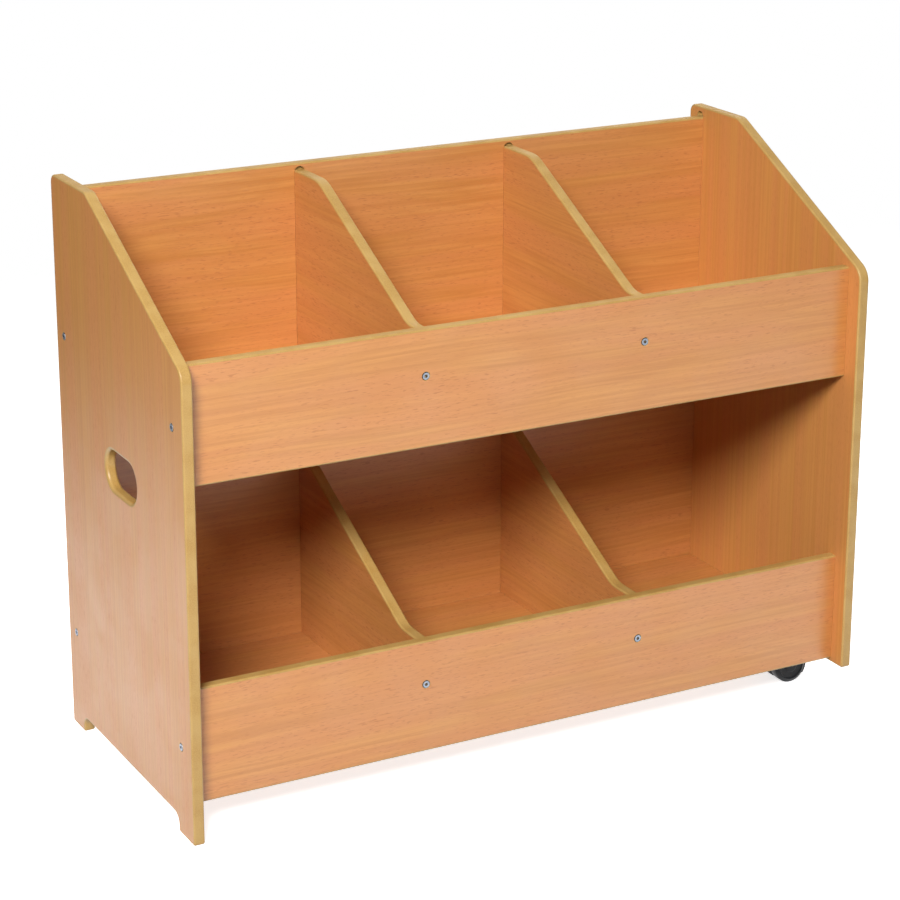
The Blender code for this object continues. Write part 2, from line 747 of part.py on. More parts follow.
def kingpin_end():
    """Lowest point of the kingpin, clear of the wheel well under it."""
    reach = CASTOR_TRAIL - KINGPIN_RADIUS - GAP
    well_top = WHEEL_RADIUS + sqrt(HOOD_INNER ** 2 - reach ** 2)
    return well_top + 0.0018


def castor_side(name, along, outline, half_width):
    """Solid of an upright outline in X and Z, centred on the castor's middle."""
    builder = bmesh.new()
    loft(builder, "XZ", [(outline, -half_width), (outline, half_width)])
    return make_cutter(add_object(name, builder, (CASTOR_X, along, 0.0)))


def hood_outline():
    """The curved hood over the wheels, tapering towards its trailing tip."""
    centre = (CASTOR_TRAIL, WHEEL_RADIUS)
    outer = arc_points(centre, HOOD_OUTER, HOOD_START + 4, HOOD_END, 9.0)
    inner = arc_points(centre, HOOD_INNER, HOOD_END, HOOD_START, 9.0)
    return outer + inner


def web_outline():
    """The web between the wheels, from the axle's hub up into the hood."""
    centre = (CASTOR_TRAIL, WHEEL_RADIUS)
    rim = arc_points(centre, HOOD_INNER + HOOD_THICKNESS / 2, WEB_START, HOOD_END - 2, 9.0)
    hub = arc_points(centre, HUB_RADIUS, 200, 340, 20.0)
    return rim + hub


def make_housing(row, along, pivot):
    """Make a castor's swivelling housing: race, boss, hood and web in one piece."""
    name = f"{row}_castor_housing"
    low = WHEEL_RADIUS + HUB_RADIUS
    middle = 2 * WHEEL_RADIUS + 0.0025
    profile = [
        (0.0, RACE_TOP),
        (RACE_RADIUS - 0.001, RACE_TOP),
        (RACE_RADIUS, RACE_TOP - 0.001),
        (RACE_RADIUS, middle),
        (BOSS_RADIUS, middle - 0.002),
        (BOSS_RADIUS, low + 0.004),
        (BOSS_RADIUS - 0.003, low),
        (0.0, low),
    ]
    housing = turned(name, profile, 24, Vector((CASTOR_X, along, 0.0)), Z_AXIS, HOOD_BLACK, pivot)
    centre = (CASTOR_TRAIL, WHEEL_RADIUS)
    well = castor_side(f"{name}_well_cut", along, arc_points(centre, HOOD_INNER, 0, 350, 10.0), 0.03)
    combine(housing, well, "DIFFERENCE")
    hood = castor_side(f"{name}_hood", along, hood_outline(), HOOD_HALF_WIDTH)
    combine(housing, hood, "UNION")
    web = castor_side(f"{name}_web", along, web_outline(), WEB_HALF_WIDTH)
    combine(housing, web, "UNION")
    builder = bmesh.new()
    bore = [
        (0.0, RACE_TOP + 0.002),
        (KINGPIN_RADIUS + GAP, RACE_TOP + 0.002),
        (KINGPIN_RADIUS + GAP, kingpin_end() - GAP),
        (0.0, kingpin_end() - GAP),
    ]
    lathe(builder, bore, 16, Vector((0, 0, 0)), Z_AXIS)
    axle = [
        (0.0, -WEB_HALF_WIDTH - 0.002),
        (AXLE_RADIUS + GAP, -WEB_HALF_WIDTH - 0.002),
        (AXLE_RADIUS + GAP, WEB_HALF_WIDTH + 0.002),
        (0.0, WEB_HALF_WIDTH + 0.002),
    ]
    lathe(builder, axle, 12, Vector((CASTOR_TRAIL, 0, WHEEL_RADIUS)), Y_AXIS)
    bores = make_cutter(add_object(f"{name}_bore_cuts", builder, (CASTOR_X, along, 0.0)))
    combine(housing, bores, "DIFFERENCE")


def wheel_profile():
    """Half section of a wheel: tread, shoulders, dished face and blind bore."""
    radius = WHEEL_RADIUS
    inner = WHEEL_INNER
    outer = WHEEL_OUTER
    bore = AXLE_RADIUS + GAP
    return [
        (0.0, AXLE_HALF + GAP),
        (bore, AXLE_HALF + GAP),
        (bore, inner),
        (radius - 0.0020, inner),
        (radius, inner + 0.0020),
        (radius, outer - 0.0050),
        (radius - 0.0015, outer - 0.0022),
        (radius - 0.0050, outer),
        (radius - 0.0070, outer - 0.0012),
        (radius * 0.36, outer - 0.0012),
        (radius * 0.32, outer),
        (0.0, outer),
    ]


def make_wheels(row, along, pivot):
    """Make a castor's axle and its two wheels."""
    spot = Vector((CASTOR_X + CASTOR_TRAIL, along, WHEEL_RADIUS))
    chamfer = 0.0006
    pin = [
        (0.0, AXLE_HALF),
        (AXLE_RADIUS - chamfer, AXLE_HALF),
        (AXLE_RADIUS, AXLE_HALF - chamfer),
        (AXLE_RADIUS, -AXLE_HALF + chamfer),
        (AXLE_RADIUS - chamfer, -AXLE_HALF),
        (0.0, -AXLE_HALF),
    ]
    turned(f"{row}_castor_axle", pin, 12, spot, Y_AXIS, AXLE_STEEL, pivot)
    for label, sign in (("near", -1), ("far", 1)):
        name = f"{row}_castor_{label}_wheel"
        turned(name, wheel_profile(), 28, spot, Y_AXIS * sign, WHEEL_BLACK, pivot)


def make_castors():
    """Make both castors, each hung from an empty on its swivel axis."""
    for row, along in (("front", FRONT_CASTOR_Y), ("rear", REAR_CASTOR_Y)):
        pivot = bpy.data.objects.new(f"{row}_castor_pivot", None)
        bpy.context.scene.collection.objects.link(pivot)
        pivot.location = (CASTOR_X, along, 0.0)
        make_castor_plate(row, along)
        make_housing(row, along, pivot)
        make_wheels(row, along, pivot)
    make_plate_screws()


def main():
    """Build the whole cart."""
    clear_scene()
    make_sides()
    make_front_panels()
    make_back_panel()
    make_shelves()
    make_dividers()
    make_dowels()
    make_castors()


main()
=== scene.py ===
"""Looks of a two-tier book cart in beech-effect board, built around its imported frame.

The boards, castors and screws are modelled finely over the solids of the frame and
dressed in procedural finishes.  Lengths are in metres, +Z is up, the castor end is at
+X and the bays open towards -Y.
"""

import json
import logging
import math
from dataclasses import dataclass, field
from enum import Enum
from typing import Collection, Sequence

import bmesh
import bpy
from mathutils import Matrix, Vector

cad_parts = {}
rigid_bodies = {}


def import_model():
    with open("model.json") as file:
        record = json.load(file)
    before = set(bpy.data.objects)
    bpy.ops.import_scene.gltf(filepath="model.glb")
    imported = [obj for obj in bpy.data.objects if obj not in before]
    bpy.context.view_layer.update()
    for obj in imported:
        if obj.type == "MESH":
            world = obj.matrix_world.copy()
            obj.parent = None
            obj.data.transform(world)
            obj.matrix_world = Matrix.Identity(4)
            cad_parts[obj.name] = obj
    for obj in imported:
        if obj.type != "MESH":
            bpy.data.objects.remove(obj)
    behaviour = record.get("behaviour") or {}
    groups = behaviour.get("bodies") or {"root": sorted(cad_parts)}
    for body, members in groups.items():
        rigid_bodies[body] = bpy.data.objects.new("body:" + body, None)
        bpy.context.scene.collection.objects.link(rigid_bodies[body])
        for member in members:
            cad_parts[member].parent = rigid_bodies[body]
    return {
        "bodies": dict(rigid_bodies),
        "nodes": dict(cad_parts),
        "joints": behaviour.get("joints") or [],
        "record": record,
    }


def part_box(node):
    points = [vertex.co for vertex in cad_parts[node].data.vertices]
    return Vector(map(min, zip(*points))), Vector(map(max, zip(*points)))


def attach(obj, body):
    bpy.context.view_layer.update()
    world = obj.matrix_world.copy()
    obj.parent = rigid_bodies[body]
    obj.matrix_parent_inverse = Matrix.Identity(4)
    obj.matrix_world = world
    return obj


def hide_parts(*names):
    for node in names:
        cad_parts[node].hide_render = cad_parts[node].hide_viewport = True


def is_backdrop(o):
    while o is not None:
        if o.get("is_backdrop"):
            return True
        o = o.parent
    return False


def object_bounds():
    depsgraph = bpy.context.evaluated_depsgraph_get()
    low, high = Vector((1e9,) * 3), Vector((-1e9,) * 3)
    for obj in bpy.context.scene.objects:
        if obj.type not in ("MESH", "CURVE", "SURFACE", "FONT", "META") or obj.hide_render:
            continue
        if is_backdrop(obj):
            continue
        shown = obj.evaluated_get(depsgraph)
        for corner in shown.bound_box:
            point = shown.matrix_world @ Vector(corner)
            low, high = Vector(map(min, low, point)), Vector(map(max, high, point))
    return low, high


GAP = 0.0003  # clearance between fitted pieces
SMOOTH_LIMIT = math.radians(38.0)  # edges that turn more than this stay sharp
X_WAY, Y_WAY, UP = Vector((1, 0, 0)), Vector((0, 1, 0)), Vector((0, 0, 1))
WHITE = (1.0, 1.0, 1.0, 1.0)

Point = tuple[float, float]
Triple = tuple[float, float, float]
Box = tuple[Vector, Vector]
Ring = list[bmesh.types.BMVert]
Socket = bpy.types.NodeSocket

log = logging.getLogger("book_cart")


# ---------------------------------------------------------------- planes and directions
class Plane(Enum):
    """The plane in which a board lies: X, Y and Z picked from its two axes and its depth."""

    YZ = (2, 0, 1)
    XZ = (0, 2, 1)
    XY = (0, 1, 2)

    def place(self, point: Point, depth: float) -> Vector:
        """The point in space of a flat point and a depth."""
        return Vector([(*point, depth)[index] for index in self.value])


class Grain(Enum):
    """Which way the grain runs, as the turn that lays it along the pattern's X axis."""

    LENGTHWISE = (0.0, 0.0, 0.0)
    UPRIGHT = (0.0, math.pi / 2, 0.0)
    FRONT_TO_BACK = (0.0, 0.0, -math.pi / 2)


class Face(Enum):
    """The face of a board that a recess is cut into."""

    LOW = "low"
    HIGH = "high"
    THROUGH = "through"


def bearing(azimuth: float, elevation: float) -> Vector:
    """Direction in which something stands as seen from the cart.

    Args:
        azimuth: degrees from straight in front, positive towards the castor end.
        elevation: degrees above the floor.

    Returns:
        A vector of length one.
    """
    turn, lift = math.radians(azimuth), math.radians(elevation)
    flat = math.cos(lift)
    return Vector((math.sin(turn) * flat, -math.cos(turn) * flat, math.sin(lift)))


# ---------------------------------------------------------------- flat outlines
def arc(centre: Point, radius: float, start: float, end: float, step: float = 6.0) -> list[Point]:
    """Points on an arc, both ends included.

    Args:
        centre: middle of the arc.
        radius: its radius.
        start: first angle, in degrees.
        end: last angle, in degrees.
        step: largest angle between two points, in degrees.

    Returns:
        The points in order.
    """
    count = max(1, math.ceil(abs(end - start) / step))
    angles = [math.radians(start + (end - start) * index / count) for index in range(count + 1)]
    return [(centre[0] + radius * math.cos(angle), centre[1] + radius * math.sin(angle)) for angle in angles]


@dataclass(frozen=True)
class Corner:
    """One corner of an outline and the radius that rounds it."""

    first: float
    second: float
    radius: float = 0.0

    @property
    def spot(self) -> Vector:
        """The corner as a flat vector."""
        return Vector((self.first, self.second))

    def rounded(self, before: "Corner", after: "Corner", step: float) -> list[Point]:
        """Replace the corner by an arc that touches both of its sides.

        Args:
            before: the corner before this one.
            after: the corner after this one.
            step: largest angle between two points, in degrees.

        Returns:
            The points of the arc, or the corner itself where it isn't rounded.
        """
        if self.radius <= 0:
            return [(self.first, self.second)]
        towards = (before.spot - self.spot).normalized()
        away = (after.spot - self.spot).normalized()
        half = towards.angle(away) / 2
        reach = self.radius / math.tan(half)
        centre = self.spot + (towards + away).normalized() * (self.radius / math.sin(half))
        begin = self.spot + towards * reach - centre
        finish = self.spot + away * reach - centre
        start = math.atan2(begin.y, begin.x)
        turn = math.atan2(finish.y, finish.x) - start
        turn = (turn + math.pi) % (2 * math.pi) - math.pi
        return arc(centre, self.radius, math.degrees(start), math.degrees(start + turn), step)


def outline(corners: Sequence[Corner], step: float = 6.0) -> list[Point]:
    """Close a row of corners into an outline.

    Args:
        corners: the corners, in order, counter-clockwise.
        step: largest angle between two points of a rounding, in degrees.

    Returns:
        The outline's points.
    """
    points: list[Point] = []
    for index, corner in enumerate(corners):
        points.extend(corner.rounded(corners[index - 1], corners[(index + 1) % len(corners)], step))
    return points


def rectangle(low: Point, high: Point, radius: float = 0.0) -> list[Point]:
    """A rectangle between two opposite corners, with all four rounded."""
    spots = ((low[0], low[1]), (high[0], low[1]), (high[0], high[1]), (low[0], high[1]))
    return outline([Corner(*spot, radius) for spot in spots], step=15.0)


def shrink(points: Sequence[Point], distance: float, square: Collection[int] = ()) -> list[Point]:
    """Move the sides of a counter-clockwise outline inwards.

    Args:
        points: the outline.
        distance: how far, or outwards where it is negative.
        square: sides that stay where they are, by the index of the point they start from.

    Returns:
        The moved outline, with as many points.
    """
    moved = []
    count = len(points)
    for index, here in enumerate(points):
        normals, reaches = [], []
        for side in ((index - 1) % count, index):
            start, end = points[side], points[(side + 1) % count]
            along = Vector((end[0] - start[0], end[1] - start[1])).normalized()
            normals.append(Vector((-along.y, along.x)))
            reaches.append(0.0 if side in square else distance)
        turn = normals[0].dot(normals[1])
        if reaches[0] == reaches[1]:
            shift = (normals[0] + normals[1]) * (reaches[0] / (1.0 + turn))
        else:
            spread = 1.0 - turn * turn
            shift = normals[0] * ((reaches[0] - turn * reaches[1]) / spread)
            shift += normals[1] * ((reaches[1] - turn * reaches[0]) / spread)
        moved.append((here[0] + shift.x, here[1] + shift.y))
    return moved


def obround(middle: Point, length: float, width: float, upright: bool = False) -> list[Point]:
    """A slot outline with half-round ends.

    Args:
        middle: the slot's middle.
        length: overall length.
        width: overall width.
        upright: whether it lies along the second axis.

    Returns:
        The outline, counter-clockwise.
    """
    reach = (length - width) / 2
    across, rise, begin = (0.0, reach, 0) if upright else (reach, 0.0, -90)
    points = []
    for side, start in ((1, begin), (-1, begin + 180)):
        centre = (middle[0] + side * across, middle[1] + side * rise)
        points += arc(centre, width / 2, start, start + 180, 7.5)
    return points


def circle(middle: Point, radius: float, count: int = 28) -> list[Point]:
    """A round outline of the given number of points."""
    return arc(middle, radius, 0, 360 - 360 / count, 360 / count)


# ---------------------------------------------------------------- solids
def linked(name: str, data: bpy.types.ID) -> bpy.types.Object:
    """Make an object and link it to the scene.

    Args:
        name: the object's name.
        data: its mesh, lamp or camera.

    Returns:
        The object, at the origin.
    """
    item = bpy.data.objects.new(name, data)
    bpy.context.scene.collection.objects.link(item)
    return item


def placed(name: str, mesh: bpy.types.Mesh) -> bpy.types.Object:
    """Shade a piece's mesh and make its object.

    Args:
        name: the piece's name.
        mesh: its mesh.

    Returns:
        The piece.
    """
    mesh.name = name
    mesh.shade_smooth()
    mesh.set_sharp_from_angle(angle=SMOOTH_LIMIT)
    return linked(name, mesh)


def finished(name: str, build: bmesh.types.BMesh) -> bpy.types.Object:
    """Turn a mesh under construction into a piece with its faces outwards.

    Args:
        name: the piece's name.
        build: the mesh, which is freed.

    Returns:
        The piece.
    """
    bmesh.ops.recalc_face_normals(build, faces=build.faces[:])
    mesh = bpy.data.meshes.new(name)
    build.to_mesh(mesh)
    build.free()
    return placed(name, mesh)


def applied(piece: bpy.types.Object, *spares: bpy.types.Object) -> bpy.types.Mesh:
    """Take the plain mesh that a piece's modifiers give.

    Args:
        piece: the object with its modifiers, which is removed.
        spares: other objects that the modifiers use, removed too.

    Returns:
        The mesh, in one finish all over.
    """
    bpy.context.view_layer.update()
    evaluated = piece.evaluated_get(bpy.context.evaluated_depsgraph_get())
    mesh = bpy.data.meshes.new_from_object(evaluated)
    mesh.materials.clear()
    for spare in (piece, *spares):
        bpy.data.objects.remove(spare)
    return mesh


def combined(
    name: str, base: bpy.types.Object, tools: Sequence[tuple[bpy.types.Object, str]],
) -> bpy.types.Object:
    """Cut and join solids exactly into one plain mesh.

    Args:
        name: name of the result.
        base: the solid to start from.
        tools: solids with the operation that each one does.

    Returns:
        The result; the base and the tools are removed.
    """
    for tool, operation in tools:
        modifier = base.modifiers.new(tool.name, "BOOLEAN")
        modifier.object, modifier.operation, modifier.solver = tool, operation, "EXACT"
    return placed(name, applied(base, *(tool for tool, _ in tools)))


@dataclass
class Recess:
    """A pocket or a hole in a board."""

    mouth: list[Point]
    face: Face
    depth: float = 0.0
    lip: float = 0.0


@dataclass
class Slab:
    """A flat board with rounded-over edges.

    Slot 0 of its mesh is the faced surface and slot 1 the worked edge.
    """

    plane: Plane
    low: float
    high: float
    round_over: float = 0.0025
    segments: int = 5
    shoulder: float = 0.0004  # narrow flat band beside each rounding, which keeps the faces flat
    recesses: list[Recess] = field(default_factory=list)

    def profile(self, radius: float) -> list[Point]:
        """Steps of a rounding from the face round to the edge.

        Args:
            radius: the rounding's radius.

        Returns:
            Pairs of inset from the edge and depth below the face.
        """
        angles = [math.pi / 2 * index / self.segments for index in range(self.segments + 1)]
        steps = [(radius * (1 - math.sin(angle)), radius * (1 - math.cos(angle))) for angle in angles]
        return [(radius + self.shoulder, 0.0), *steps, (0.0, radius + self.shoulder)]

    def ring(self, build: bmesh.types.BMesh, points: Sequence[Point], depth: float) -> Ring:
        """Place one ring of vertices across the board at a depth."""
        return [build.verts.new(self.plane.place(point, depth)) for point in points]

    @staticmethod
    def bridge(build: bmesh.types.BMesh, rings: Sequence[Ring], faced: Collection[int] = ()) -> None:
        """Join rings with quads.

        Args:
            build: the mesh that is being made.
            rings: rings of equal length, in order.
            faced: which gaps between the rings belong to the faced surface.
        """
        for row, (near, far) in enumerate(zip(rings, rings[1:])):
            for index in range(len(near)):
                following = (index + 1) % len(near)
                quad = build.faces.new((near[index], near[following], far[following], far[index]))
                quad.material_index = 0 if row in faced else 1

    def carve(self, build: bmesh.types.BMesh, recess: Recess) -> dict[Face, Ring]:
        """Build the walls of one recess.

        Args:
            build: the mesh that is being made.
            recess: the pocket or hole.

        Returns:
            The ring that the recess leaves in each face it opens.
        """
        steps = self.profile(recess.lip) if recess.lip > 0 else [(0.0, 0.0)]
        rings = {}
        for face, level, inwards in ((Face.LOW, self.low, 1), (Face.HIGH, self.high, -1)):
            if recess.face in (face, Face.THROUGH):
                floor = level + inwards * recess.depth
                rings[face] = [
                    self.ring(build, shrink(recess.mouth, -inset), level + inwards * depth) for inset, depth in steps
                ]
        if recess.face is Face.THROUGH:
            walls = rings[Face.LOW] + rings[Face.HIGH][::-1]
            self.bridge(build, walls, (0, len(walls) - 2))
        else:
            walls = rings[recess.face] + [self.ring(build, recess.mouth, floor)]
            self.bridge(build, walls, (0,) if recess.lip > 0 else ())
            build.faces.new(walls[-1]).material_index = 1
        return {face: row[0] for face, row in rings.items()}

    @staticmethod
    def cap(build: bmesh.types.BMesh, loops: Sequence[Ring]) -> None:
        """Fill one face of the board.

        Args:
            build: the mesh that is being made.
            loops: its outer loop and the loops of its recesses.
        """
        edges = [build.edges.get((loop[index - 1], vertex)) for loop in loops for index, vertex in enumerate(loop)]
        filled = bmesh.ops.triangle_fill(build, use_beauty=True, edges=edges)
        for piece in filled["geom"]:
            if isinstance(piece, bmesh.types.BMFace):
                piece.material_index = 0

    def make(self, name: str, points: Sequence[Point], square: Collection[int] = ()) -> bpy.types.Object:
        """Build the board.

        Args:
            name: the piece's name.
            points: its outline, counter-clockwise; a corner's radius is larger than the round-over.
            square: sides that butt against another board and keep square edges.

        Returns:
            The piece.
        """
        build = bmesh.new()
        steps = [(shrink(points, inset, square), depth) for inset, depth in self.profile(self.round_over)]
        rings = [self.ring(build, row, self.low + depth) for row, depth in steps]
        rings += [self.ring(build, row, self.high - depth) for row, depth in reversed(steps)]
        self.bridge(build, rings, (0, len(rings) - 2))
        loops = {Face.LOW: [rings[0]], Face.HIGH: [rings[-1]]}
        for recess in self.recesses:
            for face, ring in self.carve(build, recess).items():
                loops[face].append(ring)
        for row in loops.values():
            self.cap(build, row)
        return finished(name, build)


@dataclass
class Turning:
    """A round piece turned about an axis from a half section."""

    profile: list[Point]
    centre: Vector
    axis: Vector
    segments: int = 72

    def ring(self, build: bmesh.types.BMesh, radius: float, height: float) -> Ring:
        """Place one ring of vertices, or a single one on the axis.

        Args:
            build: the mesh that is being made.
            radius: the ring's radius.
            height: its place along the axis.

        Returns:
            The vertices.
        """
        turn = UP.rotation_difference(self.axis).to_matrix()
        count = self.segments if radius > 0 else 1
        angles = [2 * math.pi * index / count for index in range(count)]
        spots = [Vector((radius * math.cos(angle), radius * math.sin(angle), height)) for angle in angles]
        return [build.verts.new(self.centre + turn @ spot) for spot in spots]

    def make(self, name: str) -> bpy.types.Object:
        """Build the piece.

        Args:
            name: the piece's name.

        Returns:
            The piece.
        """
        build = bmesh.new()
        rings = [self.ring(build, *point) for point in self.profile]
        for lower, upper in zip(rings, rings[1:]):
            for index in range(self.segments):
                following = (index + 1) % self.segments
                loop = [lower[place % len(lower)] for place in (index, following)]
                loop += [upper[place % len(upper)] for place in (following, index)]
                build.faces.new(list(dict.fromkeys(loop)))
        return finished(name, build)


# ---------------------------------------------------------------- node trees
class Sheet:
    """A node tree with short calls for placing and joining its nodes."""

    COLUMNS = 12
    SPACING = (180.0, -220.0)

    def __init__(self, tree: bpy.types.NodeTree) -> None:
        """Wrap a tree."""
        self.tree = tree

    def add(self, kind: str, feeds: dict[str | int, object] | None = None, **settings: object) -> bpy.types.Node:
        """Place a node, set its options and feed its sockets.

        Args:
            kind: the node's type.
            feeds: the source or the plain value of each socket.
            settings: options of the node, by name.

        Returns:
            The node.
        """
        node = self.tree.nodes.new(kind)
        row, column = divmod(len(self.tree.nodes), self.COLUMNS)
        node.location = (self.SPACING[0] * column, self.SPACING[1] * row)
        for option, value in settings.items():
            setattr(node, option, value)
        for socket, source in (feeds or {}).items():
            self.feed(node, socket, source)
        return node

    def feed(self, node: bpy.types.Node, socket: str | int, source: object) -> None:
        """Link a socket to its source, or set it to a plain value.

        Args:
            node: the node that is fed.
            socket: its socket, by name or place.
            source: another node's socket, or the value.
        """
        target = node.inputs[socket]
        if isinstance(source, Socket):
            self.tree.links.new(source, target)
        else:
            target.default_value = source

    def math(self, operation: str, *values: object, clamp: bool = False) -> Socket:
        """Work out a number from sockets or plain values."""
        return self.add("ShaderNodeMath", dict(enumerate(values)), operation=operation, use_clamp=clamp).outputs[0]

    def times(self, first: object, second: object) -> Socket:
        """Product of two numbers."""
        return self.math("MULTIPLY", first, second)

    def plus(self, first: object, second: object) -> Socket:
        """Sum of two numbers."""
        return self.math("ADD", first, second)

    def minus(self, first: object, second: object) -> Socket:
        """Difference of two numbers."""
        return self.math("SUBTRACT", first, second)

    def pack(self, *parts: object) -> Socket:
        """Combine three numbers into a vector."""
        return self.add("ShaderNodeCombineXYZ", dict(enumerate(parts))).outputs[0]

    def noise(self, vector: object, size: Sequence[object], detail: float, roughness: float = 0.5) -> Socket:
        """A noise pattern over a position.

        Args:
            vector: the position.
            size: the pattern's size along each axis.
            detail: how many finer layers it has.
            roughness: how strong the finer layers are.

        Returns:
            The pattern's value.
        """
        spot = self.add("ShaderNodeVectorMath", {0: vector, 1: self.pack(*size)}, operation="DIVIDE")
        feeds = {"Vector": spot.outputs["Vector"], "Scale": 1.0, "Detail": detail, "Roughness": roughness}
        return self.add("ShaderNodeTexNoise", feeds, noise_dimensions="3D").outputs[0]

    def ramp(
        self, value: object, low: object, high: object, to_low: object = 0.0, to_high: object = 1.0,
    ) -> Socket:
        """Map a value from one range to another, softly and clamped."""
        feeds = dict(enumerate((value, low, high, to_low, to_high)))
        return self.add("ShaderNodeMapRange", feeds, interpolation_type="SMOOTHSTEP").outputs[0]

    def blend(self, share: object, first: object, second: object) -> Socket:
        """Mix two colours by the share of the second."""
        first, second = ((*tone, 1.0) if isinstance(tone, tuple) else tone for tone in (first, second))
        return self.add("ShaderNodeMix", {0: share, 6: first, 7: second}, data_type="RGBA").outputs[2]


class Pattern:
    """A shader node group that several finishes share."""

    def __init__(self, name: str, inputs: dict[str, float], outputs: Sequence[str]) -> None:
        """Open a group with a Vector input, number inputs and number outputs.

        Args:
            name: the group's name.
            inputs: number inputs with their usual values.
            outputs: names of the outputs.
        """
        self.tree = bpy.data.node_groups.new(name, "ShaderNodeTree")
        new_socket = self.tree.interface.new_socket
        new_socket("Vector", in_out="INPUT", socket_type="NodeSocketVector")
        for label, value in inputs.items():
            new_socket(label, in_out="INPUT", socket_type="NodeSocketFloat").default_value = value
        for label in outputs:
            new_socket(label, in_out="OUTPUT", socket_type="NodeSocketFloat")
        self.sheet = Sheet(self.tree)
        self.source = self.sheet.add("NodeGroupInput")
        self.drain = self.sheet.add("NodeGroupOutput")

    def get(self, label: str) -> Socket:
        """The source of one input."""
        return self.source.outputs[label]

    def noise(self, vector: object, length: str, width: str, detail: float, roughness: float = 0.5) -> Socket:
        """A noise pattern sized by one input along X and by another across it."""
        across = self.get(width)
        return self.sheet.noise(vector, (self.get(length), across, across), detail, roughness)

    def put(self, **values: Socket) -> None:
        """Join values to the outputs."""
        for label, value in values.items():
            self.sheet.feed(self.drain, label, value)

    def use(self, sheet: Sheet, vector: object, **values: float) -> bpy.types.bpy_prop_collection:
        """Place the group in a material.

        Args:
            sheet: the material's tree.
            vector: the position that the pattern follows.
            values: numbers for the inputs, with _ for each space.

        Returns:
            The outputs of the group's node.
        """
        feeds = {label.replace("_", " "): value for label, value in values.items()}
        return sheet.add("ShaderNodeGroup", {"Vector": vector, **feeds}, node_tree=self.tree).outputs


class Patterns:
    """The shared effects: figure of the beech foil, speckle of lacquered board, wear."""

    SOFT_RANGE = (0.34, 0.66)  # range of a noise value that a mask is drawn from
    STREAK_RANGE = (0.30, 0.70)
    GRAINY_RANGE = (0.36, 0.66)
    FLECK_RANGE = (0.58, 0.72)
    RUB_RANGE = (0.60, 0.78)
    RING_RANGE = (0.30, 0.0)
    FLECK_GROUPS = (0.40, 0.58, 0.35, 1.0)  # flecks fade outside the blush bands
    DRIFT_SIZE = (0.34, 0.085, 0.085)  # how slowly the grain wanders, along each axis
    STREAK_RISE = 0.35
    FLECK_DEPTH = 0.5

    def __init__(self) -> None:
        """Build every pattern once."""
        self.figure = self.beech_figure()
        self.speckle = self.board_speckle()
        self.wear = self.handling_wear()

    def beech_figure(self) -> Pattern:
        """Figure of beech, its grain along X: streaks, growth lines, blush bands and short flecks.

        Returns:
            The pattern.
        """
        pattern = Pattern(
            "beech_figure",
            {
                "Streak Length": 0.30, "Streak Width": 0.0045, "Band Width": 0.030,
                "Fleck Length": 0.010, "Fleck Width": 0.0013, "Waviness": 0.006,
                "Ring Length": 0.45, "Ring Width": 0.075, "Rings": 9.0,
            },
            ("Streak", "Blush", "Fleck", "Growth", "Height"),
        )
        sheet, spot = pattern.sheet, pattern.get("Vector")
        drift = sheet.noise(spot, self.DRIFT_SIZE, 2.0)
        shift = sheet.times(sheet.minus(drift, 0.5), pattern.get("Waviness"))
        feeds = {0: spot, 1: sheet.pack(0.0, shift, shift)}
        bent = sheet.add("ShaderNodeVectorMath", feeds, operation="ADD").outputs[0]
        streak = pattern.noise(bent, "Streak Length", "Streak Width", 3.0, 0.6)
        blush = pattern.noise(bent, "Streak Length", "Band Width", 2.0)
        fleck = pattern.noise(bent, "Fleck Length", "Fleck Width", 1.0, 0.4)
        board = pattern.noise(bent, "Ring Length", "Ring Width", 0.5, 0.4)
        flecks = sheet.times(sheet.ramp(fleck, *self.FLECK_RANGE), sheet.ramp(blush, *self.FLECK_GROUPS))
        rings = sheet.math("PINGPONG", sheet.times(board, pattern.get("Rings")), 0.5)
        pattern.put(
            Growth=sheet.ramp(rings, *self.RING_RANGE),
            Streak=sheet.ramp(streak, *self.STREAK_RANGE),
            Blush=sheet.ramp(blush, *self.SOFT_RANGE),
            Fleck=flecks,
            Height=sheet.minus(sheet.times(streak, self.STREAK_RISE), sheet.times(flecks, self.FLECK_DEPTH)),
        )
        return pattern

    def board_speckle(self) -> Pattern:
        """Fine speckle of sanded and lacquered fibreboard.

        Returns:
            The pattern.
        """
        inputs = {"Speck Size": 0.0013, "Cloud Size": 0.035}
        pattern = Pattern("board_speckle", inputs, ("Speck", "Cloud", "Height"))
        speck = pattern.noise(pattern.get("Vector"), "Speck Size", "Speck Size", 2.0, 0.7)
        cloud = pattern.noise(pattern.get("Vector"), "Cloud Size", "Cloud Size", 2.0)
        ramp = pattern.sheet.ramp
        pattern.put(Speck=ramp(speck, *self.GRAINY_RANGE), Cloud=ramp(cloud, *self.SOFT_RANGE), Height=speck)
        return pattern

    def handling_wear(self) -> Pattern:
        """Soft smudges where hands have polished a surface, and fine rubs along it.

        Returns:
            The pattern.
        """
        inputs = {"Smudge Size": 0.09, "Rub Length": 0.035, "Rub Width": 0.0012}
        pattern = Pattern("handling_wear", inputs, ("Smudge", "Rub"))
        smudge = pattern.noise(pattern.get("Vector"), "Smudge Size", "Smudge Size", 3.0, 0.55)
        rub = pattern.noise(pattern.get("Vector"), "Rub Length", "Rub Width", 1.0)
        ramp = pattern.sheet.ramp
        pattern.put(Smudge=ramp(smudge, *self.GRAINY_RANGE), Rub=ramp(rub, *self.RUB_RANGE))
        return pattern


